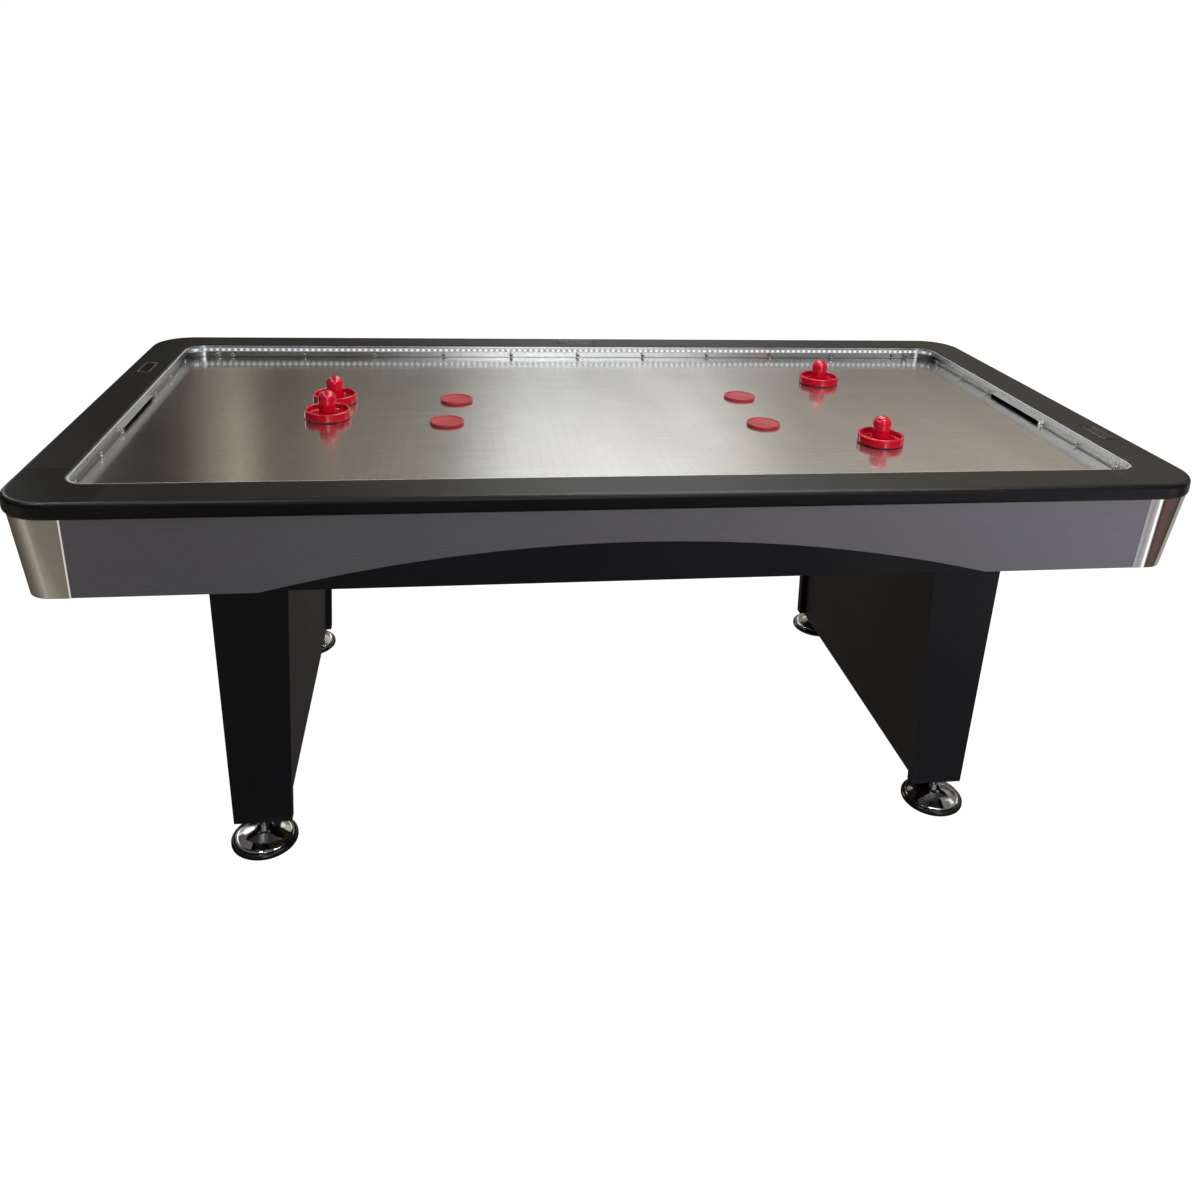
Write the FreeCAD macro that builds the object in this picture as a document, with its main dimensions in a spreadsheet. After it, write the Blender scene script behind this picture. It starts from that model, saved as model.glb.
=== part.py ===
import FreeCAD, Part
import math
import os

import Sketcher

# Air hockey table. Millimetres, origin on the floor under the middle of the table, +X along the
# length, +Y towards the rear long side, +Z up.

DIMENSIONS = {
    # Outside
    "table_length": 2438,
    "table_width": 1270,
    "top_height": 914,
    # Rails around the playing area
    "rail_width": 98,
    "rail_depth": 35,
    "rail_top_round": 10,
    "rail_low_round": 8,
    "rail_corner": 100,
    "opening_corner": 50,
    "corner_leg": 35,
    "rail_inner_round": 2,
    "seam": 0.4,
    # Wall of the playing area, from the rail inwards: metal strip, light strip, clear liner
    "wall_drop": 2.5,
    "wall_thick": 1,
    "light_drop": 8,
    "light_tall": 11,
    "light_thick": 1.2,
    "liner_back": 2.4,
    "liner_thick": 4,
    "screw_drop": 28,
    "screw_pitch": 200,
    "end_screw_first": 145,
    "end_screw_pitch": 152,
    "corner_screw": 78,
    "screw_head": 5.5,
    "screw_proud": 1.4,
    "screw_shank": 1.6,
    "screw_reach": 16,
    # Goal slot and puck return
    "goal_width": 250,
    "goal_tall": 10,
    "return_width": 200,
    "return_low": 750,
    "return_high": 800,
    "chute_wall": 4,
    "chute_width": 312,
    "chute_low": 742,
    "chute_inner": 1064,
    "chute_outer": 1180,
    # Playing surface and air chamber
    "field_length": 2280,
    "field_width": 1110,
    "skin_thick": 2,
    "board_thick": 18,
    "plenum_length": 2110,
    "rib_tall": 45,
    "rib_thick": 18,
    "floor_thick": 12,
    "air_inlet": 60,
    "port_radius": 15,
    # Apron and fascia; both lean outwards towards the top
    "apron_bottom": 706,
    "apron_inset_top": 18,
    "apron_inset_low": 36,
    "apron_corner": 50,
    "fascia_thick": 6,
    "apron_thick": 18,
    "trim_leg": 104,
    "trim_proud": 1,
    "arch_radius": 3070,
    "arch_top": 800,
    # Inner frame
    "beam_thick": 18,
    "beam_spread": 61,
    "frame_width": 1150,
    "plate_thick": 18,
    "plate_length": 180,
    # Legs
    "leg_centre": 803,
    "leg_top_width": 165,
    "leg_low_width": 127,
    "leg_face": 444,
    "leg_bottom": 54,
    "leg_board": 25,
    "panel_inset": 14,
    "panel_thick": 18,
    "leg_bolt": 5,
    "bolt_pitch": 200,
    "bolt_reach": 40,
    "bolt_head_tall": 6,
    "leg_rail_tall": 45,
    "leg_rail_play": 3,
    "cap_radius": 6,
    "cap_thick": 2.5,
    "cap_proud": 1.5,
    "cap_from_board": 12,
    "cap_low": 150,
    "cap_high": 450,
    # Levelling feet
    "foot_place": 431.5,
    "pad_radius": 73.5,
    "pad_tall": 14,
    "pad_round": 4,
    "dome_skirt": 65,
    "dome_shoulder": 63,
    "dome_shoulder_z": 17,
    "dome_middle": 40,
    "dome_middle_z": 25,
    "dome_neck": 16,
    "dome_neck_z": 33.5,
    "dome_wall": 3,
    "socket_radius": 12,
    "stud_radius": 6,
    "stud_top": 100,
    "stud_room": 1.5,
    "stud_space": 12,
    "flange_radius": 11,
    "flange_low": 28,
    "flange_thick": 3.9,
    "nut_low": 36,
    "nut_tall": 10,
    "nut_corner": 11,
    "running_gap": 0.05,
    "insert_radius": 8.5,
    "insert_tall": 22,
    # Blower
    "housing_radius": 95,
    "housing_wall": 4,
    "housing_low": 714,
    "motor_radius": 36,
    "motor_tall": 42,
    "shaft_radius": 4,
    "impeller_radius": 80,
    "impeller_low": 768,
    "hub_radius": 18,
    "hub_tall": 12,
    "disc_thick": 2.5,
    "blade_count": 12,
    "blade_start": 44,
    "blade_length": 34,
    "blade_thick": 1.6,
    "blade_tall": 22,
    "blade_sweep": 20,
    "vent_count": 8,
    "vent_start": 52,
    "vent_length": 30,
    "vent_width": 14,
    # Mains switch on the rear apron
    "switch_x": 450,
    "switch_z": 736,
    "switch_width": 30,
    "switch_tall": 44,
    "switch_lip": 2,
    "flange_proud": 2.2,
    "shell_deep": 18,
    "well_deep": 12,
    "rocker_width": 14,
    "rocker_tall": 25,
    "rocker_deep": 6,
    "rocker_proud": 4,
    "pivot_radius": 1.5,
    "pivot_reach": 2.9,
    # Score units let into three rails
    "score_deep": 10,
    "score_proud": 2,
    "score_floor": 2,
    "score_rim": 3,
    "window_thick": 3,
    "score_wide": 34,
    "end_score_long": 92,
    "rear_score_long": 112,
    "end_score_place": 295,
    # Mallets and pucks
    "mallet_radius": 55,
    "mallet_rim": 22,
    "mallet_wall": 7,
    "mallet_floor": 6,
    "mallet_tall": 67,
    "knob_radius": 22,
    "felt_radius": 51,
    "felt_thick": 1.6,
    "felt_float": 0.1,
    "puck_radius": 41.3,
    "puck_tall": 7,
    "puck_float": 0.3,
}

MALLETS = {
    "left_near": (-676, -29),
    "left_far": (-671, 101),
    "right_far": (662, 263),
    "right_near": (638, -248),
}
PUCKS = {
    "left_near": (-391, -81),
    "left_far": (-366, 99),
    "right_near": (388, -113),
    "right_far": (389, 117),
}

UP = FreeCAD.Vector(0, 0, 1)
ALONG = FreeCAD.Vector(1, 0, 0)
ACROSS = FreeCAD.Vector(0, 1, 0)

# Formulas used by several pieces
HALF_LENGTH = "dims.table_length / 2"
HALF_WIDTH = "dims.table_width / 2"
OPENING_X = "(dims.table_length / 2 - dims.rail_width)"
OPENING_Y = "(dims.table_width / 2 - dims.rail_width)"
FIELD_TOP = "(dims.top_height - dims.rail_depth)"
BOARD_TOP = f"({FIELD_TOP} - dims.skin_thick)"
RIB_TOP = f"({BOARD_TOP} - dims.board_thick)"
FLOOR_TOP = f"({RIB_TOP} - dims.rib_tall)"
FLOOR_LOW = f"({FLOOR_TOP} - dims.floor_thick)"
WALL_TOP = "(dims.top_height - dims.wall_drop)"
WALL_TALL = f"({WALL_TOP} - {FIELD_TOP})"
LINER_FACE = "(dims.liner_back + dims.liner_thick)"
LONG_STRAIGHT = f"(2 * ({OPENING_X} - dims.opening_corner - dims.corner_leg - dims.seam / 2))"
END_STRAIGHT = f"(2 * ({OPENING_Y} - dims.opening_corner - dims.corner_leg - dims.seam / 2))"
SHELL_WIDTH = "(dims.switch_width - 2 * dims.switch_lip)"
SHELL_TALL = "(dims.switch_tall - 2 * dims.switch_lip)"
LEAN = f"((dims.apron_inset_low - dims.apron_inset_top) / ({FIELD_TOP} - dims.apron_bottom))"

doc = FreeCAD.newDocument("air_hockey_table")
nodes = []


# ---------------------------------------------------------------- sheet and small helpers

def make_sheet():
    sheet = doc.addObject("Spreadsheet::Sheet", "dims")
    rows = dict(DIMENSIONS)
    for kind, places in (("mallet", MALLETS), ("puck", PUCKS)):
        for name, place in places.items():
            rows[f"{kind}_{name}_x"] = place[0]
            rows[f"{kind}_{name}_y"] = place[1]
    for row, (alias, value) in enumerate(rows.items(), start=1):
        sheet.set(f"A{row}", alias)
        sheet.set(f"B{row}", str(value))
        sheet.setAlias(f"B{row}", alias)
    doc.recompute()
    return sheet


sheet = make_sheet()


def value(formula):
    """The number that a formula over the sheet gives."""
    return float(sheet.evalExpression(formula.replace("dims.", "")))


def bind(thing, **formulas):
    for name, formula in formulas.items():
        thing.setExpression(name, str(formula))
    return thing


def place(thing, x="0", y="0", z="0", turn=None):
    """Puts a document object at formulas x, y, z, after an optional turn."""
    if turn is not None:
        thing.Placement = FreeCAD.Placement(FreeCAD.Vector(), turn)
    for axis, formula in zip("xyz", (x, y, z)):
        thing.setExpression(f"Placement.Base.{axis}", str(formula))
    return thing


def block(name, x, y, z, length, depth, height):
    """A box centred on x and y, standing on z."""
    box = doc.addObject("Part::Box", name)
    bind(box, Length=length, Width=depth, Height=height)
    return place(box, f"{x} - ({length}) / 2", f"{y} - ({depth}) / 2", z)


def rod(name, x, y, z, radius, height, direction=UP):
    """A cylinder that starts at x, y, z and runs along a direction."""
    cylinder = doc.addObject("Part::Cylinder", name)
    bind(cylinder, Radius=radius, Height=height)
    return place(cylinder, x, y, z, FreeCAD.Rotation(UP, direction))


def group(name, pieces):
    together = doc.addObject("Part::Compound", name)
    together.Links = pieces
    return together


def join(name, pieces):
    joined = doc.addObject("Part::MultiFuse", name)
    joined.Shapes = pieces
    return joined


def cut(name, base, *tools):
    difference = doc.addObject("Part::Cut", name)
    difference.Base = base
    difference.Tool = tools[0] if len(tools) == 1 else join(f"{name}_tools", list(tools))
    return difference


def common(name, base, tool):
    shared = doc.addObject("Part::Common", name)
    shared.Base = base
    shared.Tool = tool
    return shared


def mirror(name, piece, normal):
    copy = doc.addObject("Part::Mirroring", name)
    copy.Source = piece
    copy.Normal = normal
    return copy


def four_corners(name, piece):
    """The piece in the +X +Y quarter and its three mirror images."""
    left = mirror(f"{name}_left", piece, ALONG)
    front = mirror(f"{name}_front", piece, ACROSS)
    opposite = mirror(f"{name}_opposite", left, ACROSS)
    return [piece, left, front, opposite]


def node(piece, label=None):
    """Marks a document object as a finished sub-part; its Label names its file."""
    piece.Label = label or piece.Name
    nodes.append(piece)
    return piece


# ---------------------------------------------------------------- sketched bodies

def origin_plane(body, role):
    return next(item for item in body.Origin.OriginFeatures if item.Role == role)


def add_sketch(body, name, role, corners):
    """A closed outline through corners, each an (x, y) pair of formulas bound to the sheet."""
    sketch = body.newObject("Sketcher::SketchObject", name)
    sketch.AttachmentSupport = [(origin_plane(body, role), "")]
    sketch.MapMode = "FlatFace"
    points = [FreeCAD.Vector(value(x), value(y), 0) for x, y in corners]
    count = len(points)
    for index in range(count):
        sketch.addGeometry(Part.LineSegment(points[index], points[(index + 1) % count]))
    for index in range(count):
        sketch.addConstraint(Sketcher.Constraint("Coincident", index, 2, (index + 1) % count, 1))
    for index, corner in enumerate(corners):
        for kind, formula in zip(("DistanceX", "DistanceY"), corner):
            number = sketch.addConstraint(Sketcher.Constraint(kind, index, 1, value(formula)))
            sketch.setExpression(f"Constraints[{number}]", formula)
    return sketch


def padded_body(name, role, corners, length):
    """A body padded equally both ways from one of its origin planes."""
    body = doc.addObject("PartDesign::Body", name)
    pad = body.newObject("PartDesign::Pad", f"{name}_pad")
    pad.Profile = add_sketch(body, f"{name}_outline", role, corners)
    pad.SideType = "Symmetric"
    bind(pad, Length=length)
    return body


def turned_body(name, corners, angle="360"):
    """A body revolved about its own Z axis from (radius, height) corners."""
    body = doc.addObject("PartDesign::Body", name)
    sketch = add_sketch(body, f"{name}_outline", "XZ_Plane", corners)
    turn = body.newObject("PartDesign::Revolution", f"{name}_turn")
    turn.Profile = sketch
    turn.ReferenceAxis = (sketch, ["V_Axis"])
    bind(turn, Angle=angle)
    return body


def soften(body, name, radius, test):
    """Rounds the body's edges that pass a test on the edge."""
    doc.recompute()
    base = body.Tip
    edges = [f"Edge{index}" for index, edge in enumerate(body.Shape.Edges, start=1) if test(edge)]
    fillet = body.newObject("PartDesign::Fillet", name)
    fillet.Base = (base, edges)
    bind(fillet, Radius=radius)
    return body


def near(first, second):
    return abs(first - second) < 0.01


# ---------------------------------------------------------------- rails

def rail_section(outer, inner):
    """Corners of a rail's section, from its outer edge to the face that carries the wall."""
    top = "dims.top_height"
    return [(outer, top), (inner, top), (inner, FIELD_TOP), (outer, FIELD_TOP)]


def level_edge(on_face, level):
    """A test for an edge that passes on_face and lies at one height."""
    return lambda edge: on_face(edge) and all(near(vertex.Z, level) for vertex in edge.Vertexes)


def round_outer_edges(body, on_outer_face):
    top, low = value("dims.top_height"), value(FIELD_TOP)
    soften(body, f"{body.Name}_top_round", "dims.rail_top_round", level_edge(on_outer_face, top))
    soften(body, f"{body.Name}_low_round", "dims.rail_low_round", level_edge(on_outer_face, low))


def round_inner_edge(body, on_inner_face):
    top = value("dims.top_height")
    return soften(body, f"{body.Name}_inner_round", "dims.rail_inner_round", level_edge(on_inner_face, top))


def long_rail(name, side):
    outer = f"{side} * {HALF_WIDTH}"
    inner = f"{side} * {OPENING_Y}"
    body = padded_body(name, "YZ_Plane", rail_section(outer, inner), LONG_STRAIGHT)
    edge_y = side * value(HALF_WIDTH)
    inner_y = side * value(OPENING_Y)
    round_outer_edges(body, lambda edge: all(near(vertex.Y, edge_y) for vertex in edge.Vertexes))
    return round_inner_edge(body, lambda edge: all(near(vertex.Y, inner_y) for vertex in edge.Vertexes))


def end_rail(name, side):
    outer = f"{side} * {HALF_LENGTH}"
    inner = f"{side} * {OPENING_X}"
    body = padded_body(name, "XZ_Plane", rail_section(outer, inner), END_STRAIGHT)
    edge_x = side * value(HALF_LENGTH)
    inner_x = side * value(OPENING_X)
    round_outer_edges(body, lambda edge: all(near(vertex.X, edge_x) for vertex in edge.Vertexes))
    return round_inner_edge(body, lambda edge: all(near(vertex.X, inner_x) for vertex in edge.Vertexes))


def corner_piece(name, inner, outer, low, top):
    """A quarter turn of a flat section with a straight leg at each end, about the opening's corner."""
    body = doc.addObject("PartDesign::Body", name)
    section = [(outer, top), (inner, top), (inner, low), (outer, low)]
    bend_sketch = add_sketch(body, f"{name}_bend_outline", "XZ_Plane", section)
    bend = body.newObject("PartDesign::Revolution", f"{name}_bend")
    bend.Profile = bend_sketch
    bend.ReferenceAxis = (bend_sketch, ["V_Axis"])
    bend.Angle = 90
    doc.recompute()
    if body.Shape.BoundBox.YMax < 1:
        bend.Reversed = True
        doc.recompute()
    for leg, role, far_end in (("front", "XZ_Plane", "YMin"), ("back", "YZ_Plane", "XMin")):
        pad = body.newObject("PartDesign::Pad", f"{name}_{leg}_leg")
        pad.Profile = add_sketch(body, f"{name}_{leg}_outline", role, section)
        bind(pad, Length="dims.corner_leg - dims.seam / 2")
        doc.recompute()
        if getattr(body.Shape.BoundBox, far_end) > -1:
            pad.Reversed = True
            doc.recompute()
    place(body, f"{OPENING_X} - dims.opening_corner", f"{OPENING_Y} - dims.opening_corner")
    return body


def upright_at(x, y):
    """A test for an upright edge through one point in plan."""
    return lambda edge: all(near(vertex.X, x) and near(vertex.Y, y) for vertex in edge.Vertexes)


def rail_corners(screws):
    """An L of flat section whose upright corner edges are rounded, then its outer and inner rims."""
    outer = "dims.opening_corner + dims.rail_width"
    inner = "dims.opening_corner"
    leg = "-1 * (dims.corner_leg - dims.seam / 2)"
    body = padded_body("rail_corner", "XY_Plane",
                       [(leg, inner), (inner, inner), (inner, leg), (outer, leg), (outer, outer), (leg, outer)],
                       "dims.rail_depth")
    place(body, f"{OPENING_X} - dims.opening_corner", f"{OPENING_Y} - dims.opening_corner",
          "dims.top_height - dims.rail_depth / 2")
    for name, reach, radius in (("outer", outer, "dims.rail_corner"), ("inner", inner, "dims.opening_corner")):
        x = value(f"{OPENING_X} - dims.opening_corner + {reach}")
        y = value(f"{OPENING_Y} - dims.opening_corner + {reach}")
        soften(body, f"rail_corner_{name}_bend", radius, upright_at(x, y))
    centre_x = value(f"{OPENING_X} - dims.opening_corner")
    centre_y = value(f"{OPENING_Y} - dims.opening_corner")

    def on_face(reach):
        """A test for edges of the curved wall, and of its legs, at a distance from the corner's centre."""
        def at_reach(vertex):
            return near(vertex.X - centre_x, reach) or near(vertex.Y - centre_y, reach)
        return lambda edge: all(at_reach(vertex) for vertex in edge.Vertexes)

    round_outer_edges(body, on_face(value(outer)))
    round_inner_edge(body, on_face(value("dims.opening_corner")))
    blocks = [cut(f"{piece.Name}_drilled", piece, screws["all"])
              for piece in four_corners("rail_corner_block", body)]
    node(group("rail_corner_blocks", blocks))


# ---------------------------------------------------------------- liner, lights, screws

def wall_screws():
    """Round-headed screws through the liners into the rails, one group for each wall."""
    level = "dims.top_height - dims.screw_drop"
    end_far = "dims.end_screw_first + dims.end_screw_pitch"
    long_places = [f"{index} * dims.screw_pitch" for index in range(-5, 6)]
    end_places = []
    for side in (-1, 1):
        long_places.append(f"{side} * ({OPENING_X} - dims.corner_screw)")
        end_places += [f"{side} * dims.end_screw_first", f"{side} * ({end_far})",
                       f"{side} * ({OPENING_Y} - dims.corner_screw)"]

    def screw(name, x, y, head_x, head_y, outward):
        shank = rod(f"{name}_shank", x, y, level, "dims.screw_shank", "dims.screw_reach", outward)
        head = rod(f"{name}_head", head_x, head_y, level, "dims.screw_head", "dims.screw_proud", outward)
        return [shank, head]

    face_x = f"({OPENING_X} - {LINER_FACE})"
    face_y = f"({OPENING_Y} - {LINER_FACE})"
    rear, right = [], []
    for index, x in enumerate(long_places):
        rear += screw(f"rear_screw_{index}", x, face_y, x, f"{face_y} - dims.screw_proud", ACROSS)
    for index, y in enumerate(end_places):
        right += screw(f"right_screw_{index}", face_x, y, f"{face_x} - dims.screw_proud", y, ALONG)
    rear_screws = join("rear_screws", rear)
    right_screws = join("right_screws", right)
    screws = {
        "rear": rear_screws,
        "front": mirror("front_screws", rear_screws, ACROSS),
        "right": right_screws,
        "left": mirror("left_screws", right_screws, ALONG),
    }
    screws["all"] = group("liner_screws", list(screws.values()))
    return screws


def wall_layer(name, back, thick, low, tall):
    """Straight and corner pieces of one layer of the wall, from back inwards by thick."""
    pieces = {}
    depth = f"({back} + {thick} / 2)"
    for side_name, side in (("front", -1), ("rear", 1)):
        pieces[side_name] = block(f"{side_name}_{name}", "0", f"{side} * ({OPENING_Y} - {depth})", low,
                                  LONG_STRAIGHT, thick, tall)
    for side_name, side in (("left", -1), ("right", 1)):
        pieces[side_name] = block(f"{side_name}_{name}", f"{side} * ({OPENING_X} - {depth})", "0", low,
                                  thick, END_STRAIGHT, tall)
    corner = corner_piece(f"{name}_corner", f"dims.opening_corner - {back} - {thick}",
                          f"dims.opening_corner - {back}", low, f"{low} + {tall}")
    pieces["corners"] = four_corners(f"{name}_corner", corner)
    return pieces


def goal_slot(name, side):
    """The space that a goal's slot takes out of the wall."""
    return block(f"{name}_slot_space", f"{side} * {OPENING_X}", "0", f"{FIELD_TOP} - 1",
                 "4 * dims.liner_back + 4 * dims.liner_thick", "dims.goal_width", "dims.goal_tall + 1")


def walls(screws):
    """Metal strip on the rails, light strip on it, and the clear liner in front of both."""
    strip = wall_layer("wall_strip", "0", "dims.wall_thick", FIELD_TOP, WALL_TALL)
    liner = wall_layer("liner", "dims.liner_back", "dims.liner_thick", FIELD_TOP, WALL_TALL)
    light = wall_layer("light", "dims.wall_thick", "dims.light_thick",
                       "dims.top_height - dims.light_drop - dims.light_tall", "dims.light_tall")
    slots = {name: goal_slot(name, side) for name, side in (("left", -1), ("right", 1))}

    def drilled(pieces, name):
        tools = [screws[name]] + ([slots[name]] if name in slots else [])
        return cut(f"{pieces[name].Name}_drilled", pieces[name], *tools)

    def drilled_corners(pieces):
        return [cut(f"{piece.Name}_drilled", piece, screws["all"]) for piece in pieces["corners"]]

    straight = [drilled(strip, name) for name in ("front", "rear", "left", "right")]
    node(group("wall_strips", straight + drilled_corners(strip)))
    node(group("side_liners", [drilled(liner, name) for name in ("front", "rear")]))
    node(group("goal_liners", [drilled(liner, name) for name in ("left", "right")]))
    node(group("corner_liners", drilled_corners(liner)))
    node(group("light_strips", [light[name] for name in ("front", "rear", "left", "right")]
               + light["corners"]))
    node(screws["all"])


# ---------------------------------------------------------------- score units

def score_places():
    """Centre x, centre y, x size and y size of each score unit."""
    end_x = f"({HALF_LENGTH} - dims.rail_width / 2)"
    rear_y = f"({HALF_WIDTH} - dims.rail_width / 2)"
    return {
        "right": (end_x, "-dims.end_score_place", "dims.score_wide", "dims.end_score_long"),
        "left": (f"-1 * {end_x}", "dims.end_score_place", "dims.score_wide", "dims.end_score_long"),
        "rear": ("0", rear_y, "dims.rear_score_long", "dims.score_wide"),
    }


def score_units():
    low = "dims.top_height - dims.score_deep"
    pockets, bezels, windows = {}, [], []
    for name, (x, y, size_x, size_y) in score_places().items():
        pockets[name] = block(f"{name}_score_pocket", x, y, low, size_x, size_y, "dims.score_deep * 2")
        shell = block(f"{name}_score_shell", x, y, low, size_x, size_y, "dims.score_deep + dims.score_proud")
        inner_x = f"{size_x} - 2 * dims.score_rim"
        inner_y = f"{size_y} - 2 * dims.score_rim"
        hollow = block(f"{name}_score_hollow", x, y, f"{low} + dims.score_floor", inner_x, inner_y,
                       "dims.score_deep * 2")
        bezels.append(cut(f"{name}_score_bezel", shell, hollow))
        windows.append(block(f"{name}_score_window", x, y, "dims.top_height - dims.window_thick",
                             inner_x, inner_y, "dims.window_thick"))
    node(group("score_bezels", bezels))
    node(group("score_windows", windows))
    return pockets


def rails(screws, pockets):
    node(cut("front_rail", long_rail("front_rail_blank", -1), screws["front"]))
    node(cut("rear_rail", long_rail("rear_rail_blank", 1), screws["rear"], pockets["rear"]))
    for name, side in (("left", -1), ("right", 1)):
        reach = f"(dims.chute_outer - {OPENING_X})"
        passage = block(f"{name}_puck_passage", f"{side} * ({OPENING_X} + {reach} / 2)", "0",
                        f"{FIELD_TOP} - 1", reach, "dims.goal_width", "dims.goal_tall + 1")
        node(cut(f"{name}_end_rail", end_rail(f"{name}_rail_blank", side), screws[name], passage,
                 pockets[name]))


# ---------------------------------------------------------------- playing surface and air chamber

def playing_surface():
    notch_length = f"(dims.field_length / 2 - {OPENING_X})"
    for name, top, thick in (("playfield_skin", FIELD_TOP, "dims.skin_thick"),
                             ("playfield_board", BOARD_TOP, "dims.board_thick")):
        low = f"({top} - {thick})"
        sheet_block = block(f"{name}_blank", "0", "0", low, "dims.field_length", "dims.field_width", thick)
        notches = [
            block(f"{name}_{end}_notch", f"{side} * ({OPENING_X} + {notch_length})", "0", f"{low} - 1",
                  f"2 * {notch_length}", "dims.goal_width + 4 * dims.chute_wall + 2", f"{thick} + 2")
            for end, side in (("left", -1), ("right", 1))
        ]
        node(cut(name, sheet_block, *notches))


def air_chamber():
    """Ribs glued in a grid between the playfield board and the chamber's floor."""
    cells_x, cells_y = 4, 2
    cell_x = f"((dims.plenum_length - {cells_x + 1} * dims.rib_thick) / {cells_x})"
    cell_y = f"((dims.field_width - {cells_y + 1} * dims.rib_thick) / {cells_y})"
    blank = block("rib_blank", "0", "0", FLOOR_TOP, "dims.plenum_length", "dims.field_width",
                  "dims.rib_tall")
    hollows = []
    for row in range(cells_y):
        for column in range(cells_x):
            x = f"{column - (cells_x - 1) / 2} * ({cell_x} + dims.rib_thick)"
            y = f"{row - (cells_y - 1) / 2} * ({cell_y} + dims.rib_thick)"
            hollows.append(block(f"air_cell_{row}_{column}", x, y, f"{FLOOR_TOP} - 1", cell_x, cell_y,
                                 "dims.rib_tall + 2"))
    # Ports let air pass from the middle of the chamber to every cell
    port_y = f"({cell_y} + dims.rib_thick) / 2"
    for index, side in enumerate((-1, 1)):
        hollows.append(rod(f"air_port_{index}", "-dims.plenum_length / 2 + 2 * dims.rib_thick",
                           f"{side} * {port_y}", f"{FLOOR_TOP} + dims.rib_tall / 2", "dims.port_radius",
                           "dims.plenum_length - 4 * dims.rib_thick", ALONG))
    hollows.append(block("air_middle", "0", "0", f"{FLOOR_TOP} - 1", "2 * dims.air_inlet",
                         "2 * dims.air_inlet", "dims.rib_tall - 6"))
    node(cut("plenum_ribs", blank, *hollows))
    floor = block("plenum_floor_blank", "0", "0", FLOOR_LOW, "dims.plenum_length", "dims.field_width",
                  "dims.floor_thick")
    inlet = rod("air_inlet_hole", "0", "0", f"{FLOOR_LOW} - 1", "dims.air_inlet", "dims.floor_thick + 2")
    node(cut("plenum_floor", floor, inlet))


# ---------------------------------------------------------------- apron, fascia and corner trims

def leaning_block(name, inset):
    """A block with rounded corners whose sides lean outwards, inset from the fascia's face."""
    wedge = doc.addObject("Part::Wedge", name)
    low_x = f"({HALF_LENGTH} - dims.apron_inset_low - ({inset}))"
    low_y = f"({HALF_WIDTH} - dims.apron_inset_low - ({inset}))"
    top_x = f"({HALF_LENGTH} - dims.apron_inset_top - ({inset}))"
    top_y = f"({HALF_WIDTH} - dims.apron_inset_top - ({inset}))"
    bind(wedge, Xmin=f"-1 * {low_x}", Xmax=low_x, Zmin=f"-1 * {low_y}", Zmax=low_y)
    bind(wedge, X2min=f"-1 * {top_x}", X2max=top_x, Z2min=f"-1 * {top_y}", Z2max=top_y)
    bind(wedge, Ymin="0", Ymax=f"{FIELD_TOP} - dims.apron_bottom")
    place(wedge, z="dims.apron_bottom", turn=FreeCAD.Rotation(ALONG, 90))
    doc.recompute()
    radius = value(f"dims.apron_corner - ({inset})")
    upright = [index for index, edge in enumerate(wedge.Shape.Edges, start=1)
               if abs(edge.Vertexes[0].Z - edge.Vertexes[-1].Z) > 1]
    rounded = doc.addObject("Part::Fillet", f"{name}_round")
    rounded.Base = wedge
    rounded.Edges = [(index, radius, radius) for index in upright]
    return rounded


def tall_block(name, x, y, length, depth):
    """A cutting block that runs past the apron's top and bottom."""
    return block(name, x, y, "dims.apron_bottom - 10", length, depth, "dims.rail_depth + 300")


def return_opening(name, side):
    x = f"{side} * {HALF_LENGTH}"
    height = "(dims.return_high - dims.return_low)"
    return block(name, x, "0", "dims.return_low", "200", "dims.return_width", height)


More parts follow.
